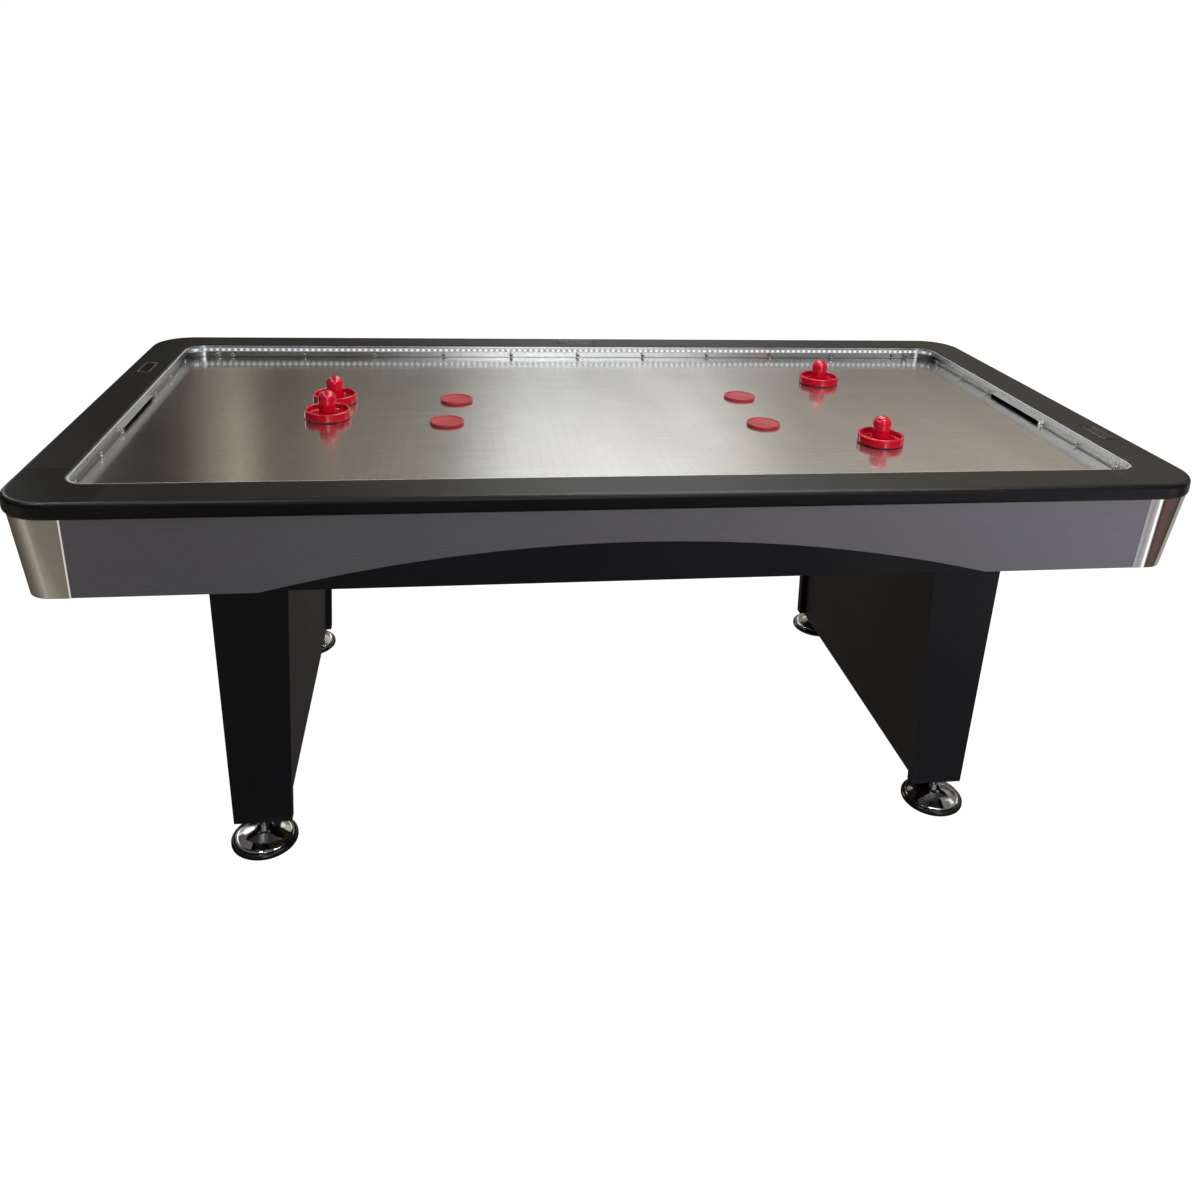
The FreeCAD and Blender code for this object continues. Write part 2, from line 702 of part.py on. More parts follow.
def aprons():
    face = leaning_block("fascia_face", "0")
    back = leaning_block("fascia_back", "dims.fascia_thick")
    inside = leaning_block("apron_inside", "dims.fascia_thick + dims.apron_thick")
    proud = leaning_block("trim_face", "-dims.trim_proud")
    fascia_ring = cut("fascia_ring", face, back)
    apron_ring = cut("apron_ring", back, inside)
    trim_ring = cut("trim_ring", proud, back)

    seam_x = f"({HALF_LENGTH} - dims.apron_inset_top - dims.trim_leg)"
    seam_y = f"({HALF_WIDTH} - dims.apron_inset_top - dims.trim_leg)"
    straight_x = f"({HALF_LENGTH} - dims.apron_inset_low - dims.apron_corner)"
    straight_y = f"({HALF_WIDTH} - dims.apron_inset_low - dims.apron_corner)"
    arch = rod("arch", "0", f"-1 * {HALF_WIDTH}", "dims.arch_top - dims.arch_radius", "dims.arch_radius",
               "dims.table_width", ACROSS)
    switch_hole = switch_block("switch_hole", SHELL_WIDTH, SHELL_TALL, "-30", "60")

    for name, side in (("front", -1), ("rear", 1)):
        window = tall_block(f"{name}_fascia_zone", "0", f"{side} * {HALF_WIDTH}",
                            f"2 * {seam_x} - dims.seam", "400")
        flat = common(f"{name}_fascia_flat", fascia_ring, window)
        node(cut(f"{name}_fascia", flat, arch))
        zone = tall_block(f"{name}_apron_zone", "0", f"{side} * {HALF_WIDTH}", f"2 * {straight_x}", "400")
        board = common(f"{name}_apron_board", apron_ring, zone)
        if side > 0:
            board = cut(f"{name}_apron_drilled", board, switch_hole)
        node(board, f"{name}_apron")

    end_pieces, end_boards = [], []
    for name, side in (("left", -1), ("right", 1)):
        window = tall_block(f"{name}_fascia_zone", f"{side} * {HALF_LENGTH}", "0", "400",
                            f"2 * {seam_y} - dims.seam")
        flat = common(f"{name}_fascia_flat", fascia_ring, window)
        end_pieces.append(cut(f"{name}_fascia", flat, return_opening(f"{name}_return", side)))
        zone = tall_block(f"{name}_apron_zone", f"{side} * {HALF_LENGTH}", "0", "400", f"2 * {straight_y}")
        board = common(f"{name}_apron_board", apron_ring, zone)
        chute_space = block(f"{name}_chute_space", f"{side} * {HALF_LENGTH}", "0", "dims.chute_low",
                            "300", "dims.chute_width", "300")
        end_boards.append(cut(f"{name}_apron", board, chute_space))
    node(group("end_fascias", end_pieces))
    node(group("end_aprons", end_boards))

    corners = []
    for name, sign_x, sign_y in (("front_left", -1, -1), ("front_right", 1, -1),
                                 ("rear_left", -1, 1), ("rear_right", 1, 1)):
        x = f"{sign_x} * ({seam_x} + 200)"
        y = f"{sign_y} * ({seam_y} + 200)"
        corners.append(common(f"{name}_trim", trim_ring, tall_block(f"{name}_zone", x, y, "400", "400")))
    node(group("apron_corner_trims", corners))


# ---------------------------------------------------------------- puck return

def goal_chutes():
    """A bin behind each goal: the puck drops down the throat and lies on the floor of the bin."""
    bins = []
    wall = "dims.chute_wall"
    for name, side in (("left", -1), ("right", 1)):
        def box(part, inner, outer, depth, low, high):
            return block(f"{name}_{part}", f"{side} * ({inner} + {outer}) / 2", "0", low,
                         f"({outer} - {inner})", depth, f"({high} - {low})")
        roof = f"({RIB_TOP} - 2)"
        throat_inner = f"({OPENING_X} + 1)"
        throat_width = f"(dims.goal_width + 4 * {wall})"
        lower = box("bin", "dims.chute_inner", "dims.chute_outer", "dims.chute_width - 1",
                    "dims.chute_low", roof)
        throat = box("throat", throat_inner, "dims.chute_outer", throat_width, "dims.chute_low", FIELD_TOP)
        lower_space = box("bin_space", f"(dims.chute_inner + {wall})", f"(dims.chute_outer - {wall})",
                          f"dims.chute_width - 1 - 2 * {wall}", f"(dims.chute_low + {wall})",
                          f"({roof} - {wall})")
        throat_space = box("throat_space", f"({throat_inner} - 2)", f"(dims.chute_outer - {wall})",
                           f"({throat_width} - 2 * {wall})", f"({roof} - 2 * {wall})",
                           f"({FIELD_TOP} + 2)")
        shell = join(f"{name}_bin_shell", [lower, throat])
        bins.append(cut(f"{name}_chute", shell, lower_space, throat_space,
                        return_opening(f"{name}_mouth", side)))
    node(group("goal_chutes", bins))


# ---------------------------------------------------------------- inner frame

def inner_frame():
    beams, plates = [], []
    low = "(dims.apron_bottom + dims.plate_thick)"
    for name, side in (("left", -1), ("right", 1)):
        for index, offset in enumerate((-1, 1)):
            x = f"({side} * dims.leg_centre + {offset} * dims.beam_spread)"
            beams.append(block(f"{name}_beam_{index}", x, "0", low, "dims.beam_thick",
                               "dims.frame_width", f"({FLOOR_LOW} - {low})"))
        plate = block(f"{name}_plate", f"{side} * dims.leg_centre", "0", "dims.apron_bottom",
                      "dims.plate_length", "dims.frame_width", "dims.plate_thick")
        plates.append(plate)
    node(group("cross_beams", beams))
    return plates


# ---------------------------------------------------------------- legs

def leg_outline(centre, inset_from_edge, thickness):
    """A strip of the leg's section that follows its taper, measured from the tapering edge inwards."""
    top_outer = f"({centre[1]} * (dims.leg_top_width / 2 - {inset_from_edge}))"
    low_outer = f"({centre[1]} * (dims.leg_low_width / 2 - {inset_from_edge}))"
    top_inner = f"({centre[1]} * (dims.leg_top_width / 2 - {inset_from_edge} - {thickness}))"
    low_inner = f"({centre[1]} * (dims.leg_low_width / 2 - {inset_from_edge} - {thickness}))"
    middle = centre[0]
    low, top = "dims.leg_bottom", "dims.apron_bottom"
    return [(f"{middle} + {low_inner}", low), (f"{middle} + {low_outer}", low),
            (f"{middle} + {top_outer}", top), (f"{middle} + {top_inner}", top)]


def leg_bolts(middle, name):
    """Four bolts through the leg plate into the rail at the top of the leg."""
    bolts = []
    for index in range(4):
        y = f"{index - 1.5} * dims.bolt_pitch"
        shank = rod(f"{name}_bolt_shank_{index}", middle, y, "dims.apron_bottom - dims.bolt_reach",
                    "dims.leg_bolt", "dims.plate_thick + dims.bolt_reach")
        head = rod(f"{name}_bolt_head_{index}", middle, y, "dims.apron_bottom + dims.plate_thick",
                   "dims.leg_bolt * 2", "dims.bolt_head_tall")
        bolts += [shank, head]
    return join(f"{name}_bolts", bolts)


def screw_caps(name, middle):
    """Small caps over the screws at the corners where the side panels meet the end boards."""
    caps = []
    lean = "((dims.leg_top_width - dims.leg_low_width) / 2 / (dims.apron_bottom - dims.leg_bottom))"
    for side in (-1, 1):
        for height in ("low", "high"):
            rise = f"dims.cap_{height}"
            face = (f"({middle} + {side} * (dims.leg_low_width / 2 - dims.panel_inset"
                    f" + {rise} * {lean} + dims.cap_proud - dims.cap_thick))")
            for end in (-1, 1):
                y = f"{end} * (dims.leg_face - dims.leg_board - dims.cap_from_board)"
                caps.append(rod(f"{name}_cap_{side + 1}_{height}_{end + 1}", face, y,
                                f"dims.leg_bottom + {rise}", "dims.cap_radius", "dims.cap_thick",
                                FreeCAD.Vector(side, 0, 0)))
    return caps


def legs(plates):
    all_bolts, all_caps, rails_inside = [], [], []
    for (name, side), plate in zip((("left", -1), ("right", 1)), plates):
        middle = f"{side} * dims.leg_centre"
        bolts = leg_bolts(middle, name)
        caps = group(f"{name}_caps", screw_caps(name, middle))
        plate_hole = cut(f"{name}_leg_plate", plate, bolts)
        rails_inside.append(plate_hole)
        all_bolts.append(bolts)
        all_caps.append(caps)

        length = "2 * (dims.leg_face - dims.leg_board)"
        panels = []
        for which, outward in (("inner", -side), ("outer", side)):
            panel = padded_body(f"{name}_leg_{which}_blank", "XZ_Plane",
                                leg_outline((middle, outward), "dims.panel_inset", "dims.panel_thick"),
                                length)
            panels.append(cut(f"{name}_leg_{which}_panel", panel, caps))
        node(group(f"{name}_leg_side_panels", panels))

        half_top, half_low = "dims.leg_top_width / 2", "dims.leg_low_width / 2"
        low, top = "dims.leg_bottom", "dims.apron_bottom"
        outline = [(f"{middle} - {half_low}", low), (f"{middle} + {half_low}", low),
                   (f"{middle} + {half_top}", top), (f"{middle} - {half_top}", top)]
        boards = []
        for which, end in (("front", -1), ("rear", 1)):
            body = padded_body(f"{name}_leg_{which}_blank", "XZ_Plane", outline, "dims.leg_board")
            place(body, y=f"{end} * (dims.leg_face - dims.leg_board / 2)")
            hole = rod(f"{name}_{which}_insert_hole", middle, f"{end} * dims.foot_place",
                       "dims.leg_bottom - 1", "dims.insert_radius", "dims.insert_tall + 1")
            shaft = rod(f"{name}_{which}_stud_hole", middle, f"{end} * dims.foot_place",
                        "dims.leg_bottom", "dims.stud_radius + dims.stud_room",
                        "dims.stud_top - dims.leg_bottom + dims.stud_space")
            boards.append(cut(f"{name}_leg_{which}_board", body, hole, shaft))
        node(group(f"{name}_leg_end_boards", boards))

        # A rail inside the top of the leg takes the bolts
        width = ("(dims.leg_top_width - 2 * dims.panel_inset - 2 * dims.panel_thick"
                 " - 2 * dims.leg_rail_play)")
        rail = block(f"{name}_leg_rail_blank", middle, "0", "dims.apron_bottom - dims.leg_rail_tall", width,
                     length, "dims.leg_rail_tall")
        rails_inside.append(cut(f"{name}_leg_rail", rail, bolts))
    node(group("leg_plates", [rails_inside[0], rails_inside[2]]))
    node(group("leg_rails", [rails_inside[1], rails_inside[3]]))
    node(group("leg_bolts", all_bolts))
    node(group("leg_screw_caps", all_caps))


# ---------------------------------------------------------------- levelling feet

def levellers():
    gap = "dims.running_gap"
    hole = f"dims.stud_radius + {gap}"
    flange_top = "(dims.flange_low + dims.flange_thick)"
    wall = "dims.dome_wall"
    neck_inside = f"dims.dome_neck - {wall}"
    dome_profile = [
        ("dims.dome_skirt", "dims.pad_tall"), ("dims.dome_shoulder", "dims.dome_shoulder_z"),
        ("dims.dome_middle", "dims.dome_middle_z"), ("dims.dome_neck", "dims.dome_neck_z"),
        ("dims.dome_neck - 1.5", "dims.nut_low - 1"), (hole, "dims.nut_low - 1"),
        (hole, f"{flange_top} + {gap}"), (neck_inside, f"{flange_top} + {gap}"),
        (neck_inside, f"dims.dome_neck_z - {wall}"), ("dims.dome_middle", f"dims.dome_middle_z - {wall}"),
        (f"dims.dome_skirt - {wall} - 2", "dims.pad_tall + 1.5"),
        (f"dims.dome_skirt - {wall} - 2", "dims.pad_tall"),
    ]
    pad_profile = [
        ("0", "0"), ("dims.pad_radius - 3", "0"), ("dims.pad_radius", "2.5"),
        ("dims.pad_radius", "dims.pad_tall - dims.pad_round"),
        ("dims.pad_radius - dims.pad_round", "dims.pad_tall"), ("dims.socket_radius", "dims.pad_tall"),
        ("dims.socket_radius", f"dims.flange_low - {gap}"), ("0", f"dims.flange_low - {gap}"),
    ]
    inserts = []
    for name, sign_x, sign_y in (("front_left", -1, -1), ("front_right", 1, -1),
                                 ("rear_left", -1, 1), ("rear_right", 1, 1)):
        x = f"{sign_x} * dims.leg_centre"
        y = f"{sign_y} * dims.foot_place"
        node(place(turned_body(f"{name}_foot_dome", dome_profile), x, y))
        node(place(turned_body(f"{name}_foot_pad", pad_profile), x, y))
        nut = doc.addObject("Part::Prism", f"{name}_nut")
        nut.Polygon = 6
        bind(nut, Circumradius="dims.nut_corner", Height="dims.nut_tall")
        place(nut, x, y, "dims.nut_low")
        thread = rod(f"{name}_thread", x, y, "dims.flange_low + 1", "dims.stud_radius",
                     "dims.stud_top - dims.flange_low - 1")
        flange = rod(f"{name}_flange", x, y, "dims.flange_low", "dims.flange_radius", "dims.flange_thick")
        node(join(f"{name}_foot_stud", [nut, thread, flange]))
        outside = rod(f"{name}_insert_blank", x, y, "dims.leg_bottom", "dims.insert_radius",
                      "dims.insert_tall")
        bore = rod(f"{name}_insert_bore", x, y, "dims.leg_bottom - 1", hole, "dims.insert_tall + 2")
        inserts.append(cut(f"{name}_insert", outside, bore))
    node(group("leveller_inserts", inserts))


# ---------------------------------------------------------------- blower

def blower():
    wall = "dims.housing_wall"
    low = "dims.housing_low"
    shaft_low = f"({low} + {wall} + 8)"
    outside = rod("housing_outside", "0", "0", low, "dims.housing_radius", f"{FLOOR_LOW} - {low}")
    inside = rod("housing_inside", "0", "0", f"{low} + {wall}", f"dims.housing_radius - {wall}",
                 f"{FLOOR_LOW} - {low}")
    vents = []
    count = int(DIMENSIONS["vent_count"])
    for index in range(count):
        angle = 360 * index / count
        slot = doc.addObject("Part::Box", f"housing_vent_{index}")
        bind(slot, Length="dims.vent_length", Width="dims.vent_width", Height=f"{wall} + 2")
        along, across = math.cos(math.radians(angle)), math.sin(math.radians(angle))
        x = f"{along} * dims.vent_start + {across} * dims.vent_width / 2"
        y = f"{across} * dims.vent_start - {along} * dims.vent_width / 2"
        vents.append(place(slot, x, y, f"{low} - 1", FreeCAD.Rotation(UP, angle)))
    node(cut("blower_housing", outside, inside, *vents))

    can = rod("motor_can", "0", "0", f"{low} + {wall}", "dims.motor_radius", "dims.motor_tall")
    hub_space = rod("motor_bore", "0", "0", f"{low} + {wall} + 6", "dims.shaft_radius + dims.running_gap",
                    "dims.motor_tall")
    node(cut("blower_motor", can, hub_space))

    shaft = rod("impeller_shaft", "0", "0", shaft_low, "dims.shaft_radius",
                f"dims.impeller_low + dims.hub_tall / 2 - {shaft_low}")
    hub = rod("impeller_hub", "0", "0", "dims.impeller_low", "dims.hub_radius", "dims.hub_tall")
    plate = rod("impeller_plate", "0", "0", "dims.impeller_low", "dims.impeller_radius",
                "dims.disc_thick")
    blades = []
    count = int(DIMENSIONS["blade_count"])
    for index in range(count):
        angle = 360 * index / count
        blade = doc.addObject("Part::Box", f"impeller_blade_{index}")
        bind(blade, Length="dims.blade_length", Width="dims.blade_thick", Height="dims.blade_tall")
        x = f"{math.cos(math.radians(angle))} * dims.blade_start"
        y = f"{math.sin(math.radians(angle))} * dims.blade_start"
        swept = FreeCAD.Rotation(UP, angle + value("dims.blade_sweep"))
        blades.append(place(blade, x, y, "dims.impeller_low + dims.disc_thick / 2", swept))
    node(join("blower_impeller", [shaft, hub, plate] + blades))


# ---------------------------------------------------------------- mains switch

def switch_frame():
    """Base point and rotation of the switch: local y runs up the leaning board, local z out of it."""
    lean = math.atan(value(LEAN))
    up = FreeCAD.Vector(0, math.sin(lean), math.cos(lean))
    out = FreeCAD.Vector(0, math.cos(lean), -math.sin(lean))
    return FreeCAD.Rotation(FreeCAD.Vector(-1, 0, 0), up, out, "ZYX"), up, out


def switch_block(name, width, tall, low, high):
    """A box on the switch's own axes, centred on its face and spanning low to high outwards."""
    turn, up, out = switch_frame()
    box = doc.addObject("Part::Box", name)
    bind(box, Length=width, Width=tall, Height=f"({high}) - ({low})")
    half_tall = f"(({tall}) / 2)"
    x = f"dims.switch_x + ({width}) / 2"
    y = f"{face_at_switch()} - {up.y} * {half_tall} + {out.y} * ({low})"
    z = f"dims.switch_z - {up.z} * {half_tall} + {out.z} * ({low})"
    return place(box, x, y, z, turn)


def face_at_switch():
    """Y of the apron board's outer face at the switch's height."""
    return (f"({HALF_WIDTH} - dims.apron_inset_low - dims.fascia_thick"
            f" + (dims.switch_z - dims.apron_bottom) * {LEAN})")


def mains_switch():
    start = "dims.switch_x - dims.rocker_width / 2 - dims.pivot_reach"
    length = "dims.rocker_width + 2 * dims.pivot_reach"
    pivot = rod("rocker_pivot", start, face_at_switch(), "dims.switch_z", "dims.pivot_radius", length, ALONG)
    pivot_hole = rod("rocker_pivot_hole", f"{start} - 0.1", face_at_switch(), "dims.switch_z",
                     "dims.pivot_radius + dims.running_gap", f"{length} + 0.2", ALONG)
    rocker = switch_block("rocker_block", "dims.rocker_width", "dims.rocker_tall", "-dims.rocker_deep",
                          "dims.rocker_proud")
    node(join("power_rocker", [rocker, pivot]))

    flange = switch_block("switch_flange", "dims.switch_width", "dims.switch_tall", "0", "dims.flange_proud")
    shell = switch_block("switch_shell", SHELL_WIDTH, SHELL_TALL, "-dims.shell_deep", "1")
    well = switch_block("switch_well", "dims.rocker_width + 1", "dims.rocker_tall + 2.4",
                        "-dims.well_deep", "5")
    body = join("switch_outside", [flange, shell])
    node(cut("power_switch_frame", body, well, pivot_hole))


# ---------------------------------------------------------------- mallets and pucks

def mallets():
    """A cup with a deep rim and a straight, round-topped knob, on a felt pad."""
    low = "dims.felt_thick"
    rim = "dims.mallet_rim"
    hollow = "dims.mallet_radius - dims.mallet_wall"
    cup_profile = [
        ("0", low), ("dims.mallet_radius - 3", low), ("dims.mallet_radius - 1", f"{low} + 1.5"),
        ("dims.mallet_radius", f"{low} + 6"), ("dims.mallet_radius", f"{rim} - 5"),
        ("dims.mallet_radius - 1.5", f"{rim} - 1"), ("dims.mallet_radius - 3", rim),
        (f"{hollow} + 1.5", rim), (hollow, f"{rim} - 1.5"), (f"{hollow} - 1", "dims.mallet_floor + 2"),
        (f"{hollow} - 3", "dims.mallet_floor"), ("0", "dims.mallet_floor"),
    ]
    felt_profile = [("0", "0"), ("dims.felt_radius", "0"), ("dims.felt_radius", low), ("0", low)]
    for name in MALLETS:
        x, y = f"dims.mallet_{name}_x", f"dims.mallet_{name}_y"
        z = f"{FIELD_TOP} + dims.felt_float"
        cup = place(turned_body(f"{name}_cup", cup_profile), x, y, z)
        shoulder = "(dims.mallet_tall - dims.knob_radius)"
        stem = rod(f"{name}_stem", x, y, f"{z} + dims.mallet_floor - 1", "dims.knob_radius",
                   f"{shoulder} - dims.mallet_floor + 1")
        dome = doc.addObject("Part::Sphere", f"{name}_dome")
        bind(dome, Radius="dims.knob_radius")
        place(dome, x, y, f"{z} + {shoulder}")
        handle = join(f"{name}_handle", [cup, stem, dome])
        felt = place(turned_body(f"{name}_felt", felt_profile), x, y, z)
        node(group(f"mallet_{name}", [handle, felt]))


def pucks():
    radius, tall = "dims.puck_radius", "dims.puck_tall"
    profile = [
        ("0", "1"), (f"{radius} - 7", "1"), (f"{radius} - 6", "0"), (f"{radius} - 1", "0"),
        (radius, "1.5"), (radius, f"{tall} - 1.5"), (f"{radius} - 1", tall), (f"{radius} - 6", tall),
        (f"{radius} - 7", f"{tall} - 1"), ("0", f"{tall} - 1"),
    ]
    for name in PUCKS:
        body = turned_body(f"puck_{name}", profile)
        node(place(body, f"dims.puck_{name}_x", f"dims.puck_{name}_y", f"{FIELD_TOP} + dims.puck_float"))


# ---------------------------------------------------------------- build, check, write

def build():
    screws = wall_screws()
    walls(screws)
    pockets = score_units()
    rails(screws, pockets)
    rail_corners(screws)
    playing_surface()
    air_chamber()
    aprons()
    goal_chutes()
    legs(inner_frame())
    levellers()
    blower()
    mains_switch()
    mallets()
    pucks()
    doc.recompute()


def check():
    for thing in doc.Objects:
        bad = [state for state in thing.State if state in ("Invalid", "Error")]
        if bad:
            raise RuntimeError(f"{thing.Name}: {bad}")
    for piece in nodes:
        if piece.Shape.isNull() or not piece.Shape.isValid() or not piece.Shape.Solids:
            raise RuntimeError(f"{piece.Label}: no valid solid")


def write():
    os.makedirs("parts", exist_ok=True)
    for piece in nodes:
        piece.Shape.exportStep(os.path.join("parts", piece.Label + ".step"))


build()
check()
write()
print(len(nodes), "nodes")
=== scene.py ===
import math

import bpy
from mathutils import Matrix, Vector


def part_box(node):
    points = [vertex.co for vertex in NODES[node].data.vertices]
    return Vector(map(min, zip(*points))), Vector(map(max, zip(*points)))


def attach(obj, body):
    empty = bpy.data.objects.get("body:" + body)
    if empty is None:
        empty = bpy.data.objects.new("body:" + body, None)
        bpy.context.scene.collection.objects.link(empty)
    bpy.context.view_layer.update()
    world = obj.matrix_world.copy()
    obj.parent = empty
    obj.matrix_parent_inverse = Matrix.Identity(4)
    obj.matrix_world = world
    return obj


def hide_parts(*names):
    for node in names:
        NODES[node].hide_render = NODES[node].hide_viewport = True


MM = 0.001
CORNERS = ("front_left", "front_right", "rear_left", "rear_right")
PLACES = ("left_near", "left_far", "right_far", "right_near")

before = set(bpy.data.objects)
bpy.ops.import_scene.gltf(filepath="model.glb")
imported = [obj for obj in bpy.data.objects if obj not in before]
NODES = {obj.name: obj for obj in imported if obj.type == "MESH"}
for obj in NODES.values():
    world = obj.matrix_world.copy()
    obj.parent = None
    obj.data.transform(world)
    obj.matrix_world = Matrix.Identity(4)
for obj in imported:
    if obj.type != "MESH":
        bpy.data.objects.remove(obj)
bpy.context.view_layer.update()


# -------- material nodes

class Shader:
    """A node material under construction; every input is a plain value or another node's output."""

    def __init__(self, name):
        self.material = bpy.data.materials.new(name)
        self.material.use_nodes = True
        self.tree = self.material.node_tree
        self.tree.nodes.clear()
        place = self.node("ShaderNodeTexCoord")
        self.point = place.outputs["Object"]

    def node(self, kind, inputs=None, **settings):
        made = self.tree.nodes.new(kind)
        for key, value in settings.items():
            setattr(made, key, value)
        for key, value in (inputs or {}).items():
            if isinstance(value, bpy.types.NodeSocket):
                self.tree.links.new(value, made.inputs[key])
            else:
                made.inputs[key].default_value = value
        return made

    def math(self, operation, *values, clamp=False):
        made = self.node("ShaderNodeMath", dict(enumerate(values)), operation=operation, use_clamp=clamp)
        return made.outputs[0]

    def scaled(self, value, gain, start):
        """The value times the gain, plus the start."""
        return self.math("ADD", self.math("MULTIPLY", value, gain), start)

    def stretched(self, scale, shift=(0, 0, 0)):
        """The object's own coordinates, in metres, multiplied along each axis."""
        made = self.node("ShaderNodeMapping", {"Vector": self.point, "Scale": scale, "Location": shift})
        return made.outputs[0]

    def fixed(self, x, y, z):
        return self.node("ShaderNodeCombineXYZ", {0: x, 1: y, 2: z}).outputs[0]

    def axes(self):
        made = self.node("ShaderNodeSeparateXYZ", {0: self.point})
        return made.outputs[0], made.outputs[1], made.outputs[2]

    def noise(self, scale, detail=3.0, rough=0.55, vector=None):
        made = self.node("ShaderNodeTexNoise", {"Vector": vector or self.point, "Scale": scale,
                                                "Detail": detail, "Roughness": rough})
        return made.outputs["Fac"]

    def ramp(self, factor, *stops):
        """Values or colours met in turn as the factor runs from 0 to 1."""
        made = self.node("ShaderNodeValToRGB", {"Fac": factor})
        points = made.color_ramp.elements
        while len(points) < len(stops):
            points.new(0.5)
        for point, (place, colour) in zip(points, stops):
            point.position = place
            if isinstance(colour, (int, float)):
                colour = (colour, colour, colour)
            point.color = (*colour, 1)
        return made.outputs["Color"]

    def blend(self, factor, first, second):
        def shade(colour):
            return (*colour, 1) if isinstance(colour, tuple) else colour
        made = self.node("ShaderNodeMix", {0: factor, 6: shade(first), 7: shade(second)}, data_type="RGBA")
        return made.outputs[2]

    def bump(self, height, strength, distance, normal=None):
        inputs = {"Height": height, "Strength": strength, "Distance": distance}
        if normal is not None:
            inputs["Normal"] = normal
        return self.node("ShaderNodeBump", inputs).outputs[0]

    def principled(self, **inputs):
        names = {key.replace("_", " "): value for key, value in inputs.items()}
        for key, value in list(names.items()):
            if isinstance(value, tuple) and key.endswith("Color"):
                names[key] = (*value, 1)
        return self.node("ShaderNodeBsdfPrincipled", names).outputs[0]

    def mixed(self, factor, first, second):
        return self.node("ShaderNodeMixShader", {0: factor, 1: first, 2: second}).outputs[0]

    def done(self, surface):
        self.node("ShaderNodeOutputMaterial", {"Surface": surface})
        return self.material


# -------- materials

def rail_black(name="rail_black_foil", gloss=0.30):
    """Satin black foil over the moulded rail: very fine pebble, faint cloudiness, a few soft scuffs."""
    s = Shader(name)
    cloud = s.noise(5.0, 4.0)
    pebble = s.noise(1500.0, 2.0)
    scuffs = s.ramp(s.noise(26.0, 8.0, 0.7, s.stretched((1.0, 3.0, 3.0))), (0.62, 0.0), (0.78, 1.0))
    base = s.blend(cloud, (0.0028, 0.0026, 0.0028), (0.0055, 0.0051, 0.0057))
    base = s.blend(s.math("MULTIPLY", scuffs, 0.25), base, (0.020, 0.019, 0.019))
    rough = s.scaled(scuffs, 0.08, s.scaled(cloud, 0.10, gloss))
    normal = s.bump(pebble, 0.22, 0.0003)
    return s.done(s.principled(Base_Color=base, Roughness=rough, IOR=1.42, Normal=normal))


def graphite_laminate():
    """Metallic graphite foil on the skirt boards: mica fleck, long faint grain, satin clear coat."""
    s = Shader("graphite_foil")
    grain = s.noise(40.0, 5.0, 0.6, s.stretched((0.4, 3.0, 9.0)))
    fleck = s.noise(2600.0, 1.0)
    cloud = s.noise(2.2, 3.0)
    base = s.blend(grain, (0.128, 0.126, 0.134), (0.166, 0.163, 0.174))
    base = s.blend(s.ramp(fleck, (0.62, 0.0), (0.75, 0.6)), base, (0.32, 0.32, 0.35))
    rough = s.scaled(cloud, 0.12, 0.36)
    normal = s.bump(s.math("ADD", grain, s.math("MULTIPLY", fleck, 0.4)), 0.10, 0.0002)
    return s.done(s.principled(Base_Color=base, Metallic=0.35, Roughness=rough, Normal=normal,
                               Coat_Weight=0.25, Coat_Roughness=0.25))


def black_laminate(name="black_foil", tone=1.0):
    """Black foil boards: fine printed pore bump, slightly uneven sheen."""
    s = Shader(name)
    pores = s.noise(700.0, 3.0, 0.6, s.stretched((1.0, 1.0, 0.35)))
    cloud = s.noise(3.0, 4.0)
    base = s.blend(cloud, (0.0045 * tone, 0.0045 * tone, 0.0055 * tone),
                   (0.0095 * tone, 0.0090 * tone, 0.0105 * tone))
    rough = s.scaled(cloud, 0.14, 0.40)
    normal = s.bump(pores, 0.28, 0.0003)
    return s.done(s.principled(Base_Color=base, Roughness=rough, Specular_IOR_Level=0.38, Normal=normal))


def fibreboard():
    """Bare pressed board, seen only from below: pale brown with short crossed fibres."""
    s = Shader("bare_fibreboard")
    fibres = s.noise(260.0, 6.0, 0.75, s.stretched((1.0, 3.5, 3.5)))
    cross = s.noise(210.0, 6.0, 0.75, s.stretched((3.5, 1.0, 3.5)))
    mixed = s.math("MULTIPLY", s.math("ADD", fibres, cross), 0.5)
    base = s.ramp(mixed, (0.30, (0.24, 0.155, 0.085)), (0.52, (0.42, 0.30, 0.18)), (0.72, (0.58, 0.45, 0.30)))
    normal = s.bump(mixed, 0.5, 0.0006)
    return s.done(s.principled(Base_Color=base, Roughness=0.86, Normal=normal))


